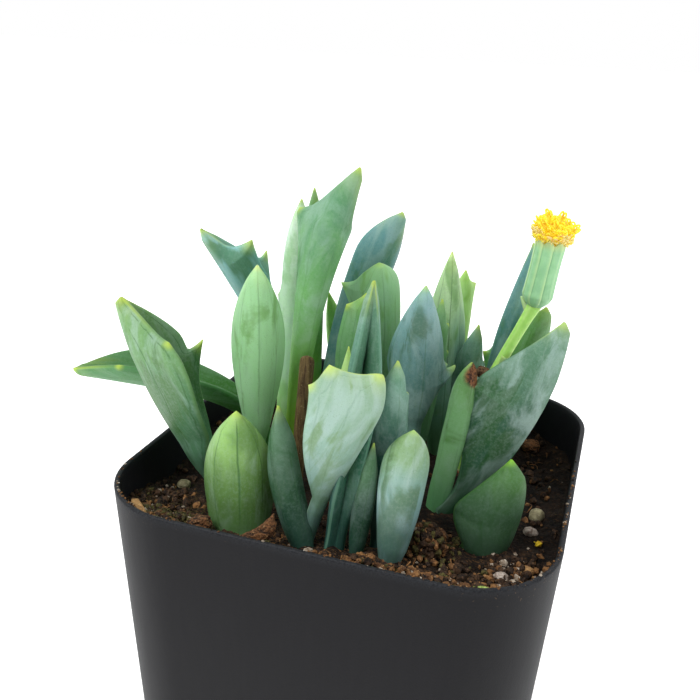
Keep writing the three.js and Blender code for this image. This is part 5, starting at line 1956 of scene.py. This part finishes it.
    def add_bract(self, shell: Shell) -> None:
        """Adds the small pale bract that stands on the stalk against the foot of the cup.

        Args:
            shell: The piece that takes it.
        """
        share = np.linspace(0, 1, 14)
        route = self.spot(-1.2 + 2.1 * share, 0.7 + 1.4 * share, np.full(14, pi))
        rings = tube_rings(route, (0.45 - 0.3 * share**2).tolist(), 12, 0.7)
        pale = np.zeros(rings.shape)
        pale[:, :, 0], pale[:, :, 1] = 0.8, 0.9
        shell.loft(rings, (route[0], route[-1]), 1, bract_mark=pale)

    def build_florets(self) -> Thing:
        """Makes the florets: tubes that splay from the cup, each with lobes and two curled arms at its mouth.

        Returns:
            The piece.
        """
        base, axis, side, front, length = self.frame()
        random = Random(self.seed)
        shell = Shell()
        core = np.array([base + axis * (length + z) for z in (-self.cup_depth + 0.35, -1, 0.2, 0.7, 1.1)])
        shell.tube(core, (1.05, 1.15, 1.3, 1.2, 0.5), 20, 2)
        heart = base + axis * (length + 0.1)
        for i in range(self.floret_count):
            tilt = radians(self.splay) * sqrt((i + 0.5) / self.floret_count)
            turn = i * GOLDEN_ANGLE
            out = side * cos(turn) + front * sin(turn)
            aim = axis * cos(tilt) + out * sin(tilt)
            reach = random.uniform(*self.floret_reach)
            root, mouth = heart + aim * 0.6, heart + aim * reach
            sag = out * random.uniform(-0.2, 0.3) + axis * random.uniform(-0.1, 0.2)
            route = smooth_route([tuple(root), tuple((root + mouth) / 2 + 0.25 * sag), tuple(mouth)], 8)
            shell.tube(route, self.floret_radii, 8, 0)
            split = unit(np.cross(aim, unit(axis + side * random.random() + front * random.uniform(-0.4, 0.4))))
            self.add_arms(shell, random, mouth, aim, split, 0)
        for i in range(self.outer_count):
            turn = (i + random.uniform(-0.4, 0.4)) / self.outer_count * 2 * pi
            out = side * cos(turn) + front * sin(turn)
            rise, away = random.uniform(-0.1, 1.2), random.uniform(2, 2.55)
            mouth = base + axis * (length + rise) + out * away
            aim = unit(out + axis * random.uniform(0.4, 1.6))
            root = heart + out * 0.9 + axis * rise * 0.4
            shell.tube(smooth_route([tuple(root), tuple(mouth - out * 0.5), tuple(mouth)], 6), self.outer_radii, 7, 1)
            kind = 1 if random.random() < self.withered_share else 0
            self.add_arms(shell, random, mouth, aim, unit(np.cross(aim, axis)), kind)
        finishes = [
            Petal(Paint(255, 238, 56), Paint(252, 200, 24), Paint(255, 250, 140)).material("floret_yellow"),
            Petal(Paint(252, 238, 150), Paint(210, 160, 84), Paint(255, 252, 220)).material("floret_withered"),
            Petal(Paint(255, 232, 60), Paint(246, 206, 40), Paint(255, 244, 140)).material("floret_heart"),
        ]
        return shell.piece("floret_tuft", finishes, "floret", ["florets"])

    def add_arms(self, shell: Shell, random: Random, mouth: Array, aim: Array, split: Array, kind: int) -> None:
        """Adds two curled style arms and the lobes of a mouth.

        Args:
            shell: The piece that takes them.
            random: The seeded hand.
            mouth: Where the tube ends.
            aim: Where it points.
            split: The way the arms part.
            kind: Which finish they have.
        """
        for sign in (-1, 1):
            curl = random.uniform(0.5, 0.8)
            stops = []
            for angle in np.radians(np.linspace(0, 230, 7)):
                stops.append(mouth + sign * split * curl * 0.55 * (1 - cos(angle)) + aim * curl * sin(angle))
            route = smooth_route([tuple(s) for s in stops], 12)
            shell.tube(route, [0.13] * 10 + [0.11, 0.07], 6, kind)
        third = np.cross(aim, split)
        for k in range(self.LOBES):
            turn = k / self.LOBES * 2 * pi + random.random()
            out = split * cos(turn) + third * sin(turn)
            stops = [mouth - aim * 0.15 + out * 0.25, mouth + out * 0.42 + aim * 0.1, mouth + out * 0.6 - aim * 0.08]
            shell.tube(np.array(stops), [0.14, 0.1, 0.04], 5, kind, 0.5)


# The studio


@dataclass(frozen=True)
class Studio:
    """The pale floor, the soft lights and the camera.

    right, up and back are the camera's own directions, and lens is in millimetres. The surround is brightest
    behind the pot: surround holds where its change starts and ends, and how bright its dimmest part is. Each soft
    box has a name, a place and a width in metres, and a power.
    """

    camera_at: Point = (29.14, -103.59, 111.56)
    right: Point = (0.947, 0.317, 0.043)
    up: Point = (-0.150, 0.322, 0.935)
    back: Point = (0.282, -0.892, 0.353)
    lens: float = 43.57
    behind: Point = (-0.3, 0.95, 0.12)
    surround: Point = (-0.7, 0.75, 0.22)
    lit: Point = (0, 0, 0.06)
    soft_boxes: tuple[tuple[str, Point, float, float], ...] = (
        ("key", (-0.35, -0.4, 0.75), 0.5, 5.0),
        ("fill", (0.6, -0.1, 0.5), 0.6, 1.5),
    )
    floor_half: float = 4.0
    floor_lines: int = 40

    def build_floor(self) -> None:
        """Makes the floor on which the pot stands."""
        count = self.floor_lines
        line = np.linspace(-self.floor_half, self.floor_half, count)
        corners = [(x, y, 0.0) for x in line for y in line]
        faces = [
            (i * count + j, (i + 1) * count + j, (i + 1) * count + j + 1, i * count + j + 1)
            for i in range(count - 1)
            for j in range(count - 1)
        ]
        mesh = bpy.data.meshes.new("floor")
        mesh.from_pydata(corners, [], faces)
        mix = Recipe("pale_floor")
        cloud = mix.grain(mix.where, 0.02, 2.0)
        colour = mix.blend(mix.ramp(cloud, 0.3, 0.7), Paint(250, 250, 250), Paint(246, 247, 248))
        glow = {"Emission_Color": (1, 1, 1, 1), "Emission_Strength": 0.6}
        mesh.materials.append(mix.finish(colour, 0.9, cloud, 0.01, Specular_IOR_Level=0.1, **glow))
        floor = bpy.data.objects.new("floor", mesh)
        bpy.context.scene.collection.objects.link(floor)

    def build_lights(self) -> None:
        """Makes the bright surround and two large soft lights."""
        scene = bpy.context.scene
        world = bpy.data.worlds.new("surround")
        world.use_nodes = True
        background = world.node_tree.nodes["Background"]
        nodes, links = world.node_tree.nodes, world.node_tree.links
        direction = nodes.new("ShaderNodeTexCoord").outputs["Generated"]
        behind = nodes.new("ShaderNodeVectorMath")
        behind.operation = "DOT_PRODUCT"
        behind.inputs[1].default_value = self.behind
        spread = nodes.new("ShaderNodeMapRange")
        spread.interpolation_type = "SMOOTHSTEP"
        for name, number in zip(("From Min", "From Max", "To Min", "To Max"), (*self.surround, 1.0)):
            spread.inputs[name].default_value = number
        links.new(direction, behind.inputs[0])
        links.new(behind.outputs["Value"], spread.inputs["Value"])
        links.new(spread.outputs[0], background.inputs[1])
        background.inputs[0].default_value = (1, 1, 1, 1)
        scene.world = world
        for name, at, size, power in self.soft_boxes:
            lamp = bpy.data.lights.new(name, "AREA")
            lamp.size, lamp.energy = size, power
            placed = bpy.data.objects.new(name, lamp)
            placed.location = at
            placed.rotation_mode = "QUATERNION"
            placed.rotation_quaternion = (Vector(self.lit) - Vector(at)).to_track_quat("-Z", "Y")
            scene.collection.objects.link(placed)
        scene.view_settings.view_transform = "Standard"
        scene.view_settings.look = "None"

    def build_camera(self) -> None:
        """Sets the camera where the photograph was taken from."""
        view = bpy.data.cameras.new("camera")
        view.lens, view.sensor_width = self.lens, 36
        view.clip_start, view.clip_end = 0.005, 20
        camera = bpy.data.objects.new("camera", view)
        turn = Matrix((self.right, self.up, self.back)).transposed()
        camera.rotation_mode = "QUATERNION"
        camera.rotation_quaternion = turn.to_quaternion()
        camera.location = Vector(self.camera_at) * METRES
        bpy.context.scene.collection.objects.link(camera)
        bpy.context.scene.camera = camera


def main() -> None:
    """Builds the studio and the pieces in order."""
    logging.basicConfig(level=logging.INFO, format="%(name)s %(message)s", force=True)
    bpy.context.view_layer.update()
    studio = Studio()
    studio.build_camera()
    studio.build_lights()
    studio.build_floor()
    pot = NurseryPot()
    pot.build()
    bed = SoilBed(pot, LEAFY_STEMS)
    bed.build()
    Scatter(bed).build()
    skins = {skin: skin.value.material(f"leaf_{skin.name.lower()}") for skin in Skin}
    for number, stem in enumerate(LEAFY_STEMS):
        stem.build(skins, number + 1)
    DriedStrip().build()
    head = FlowerHead()
    head.build_stalk()
    head.build_florets()
    for number, bit in enumerate(BITS):
        bit.build(bed, number + 1)
    for number, (bud, middle) in enumerate(WITHERED_BUDS):
        bud.shaped(point(*middle), number + 20)


if __name__ == "__main__":
    main()
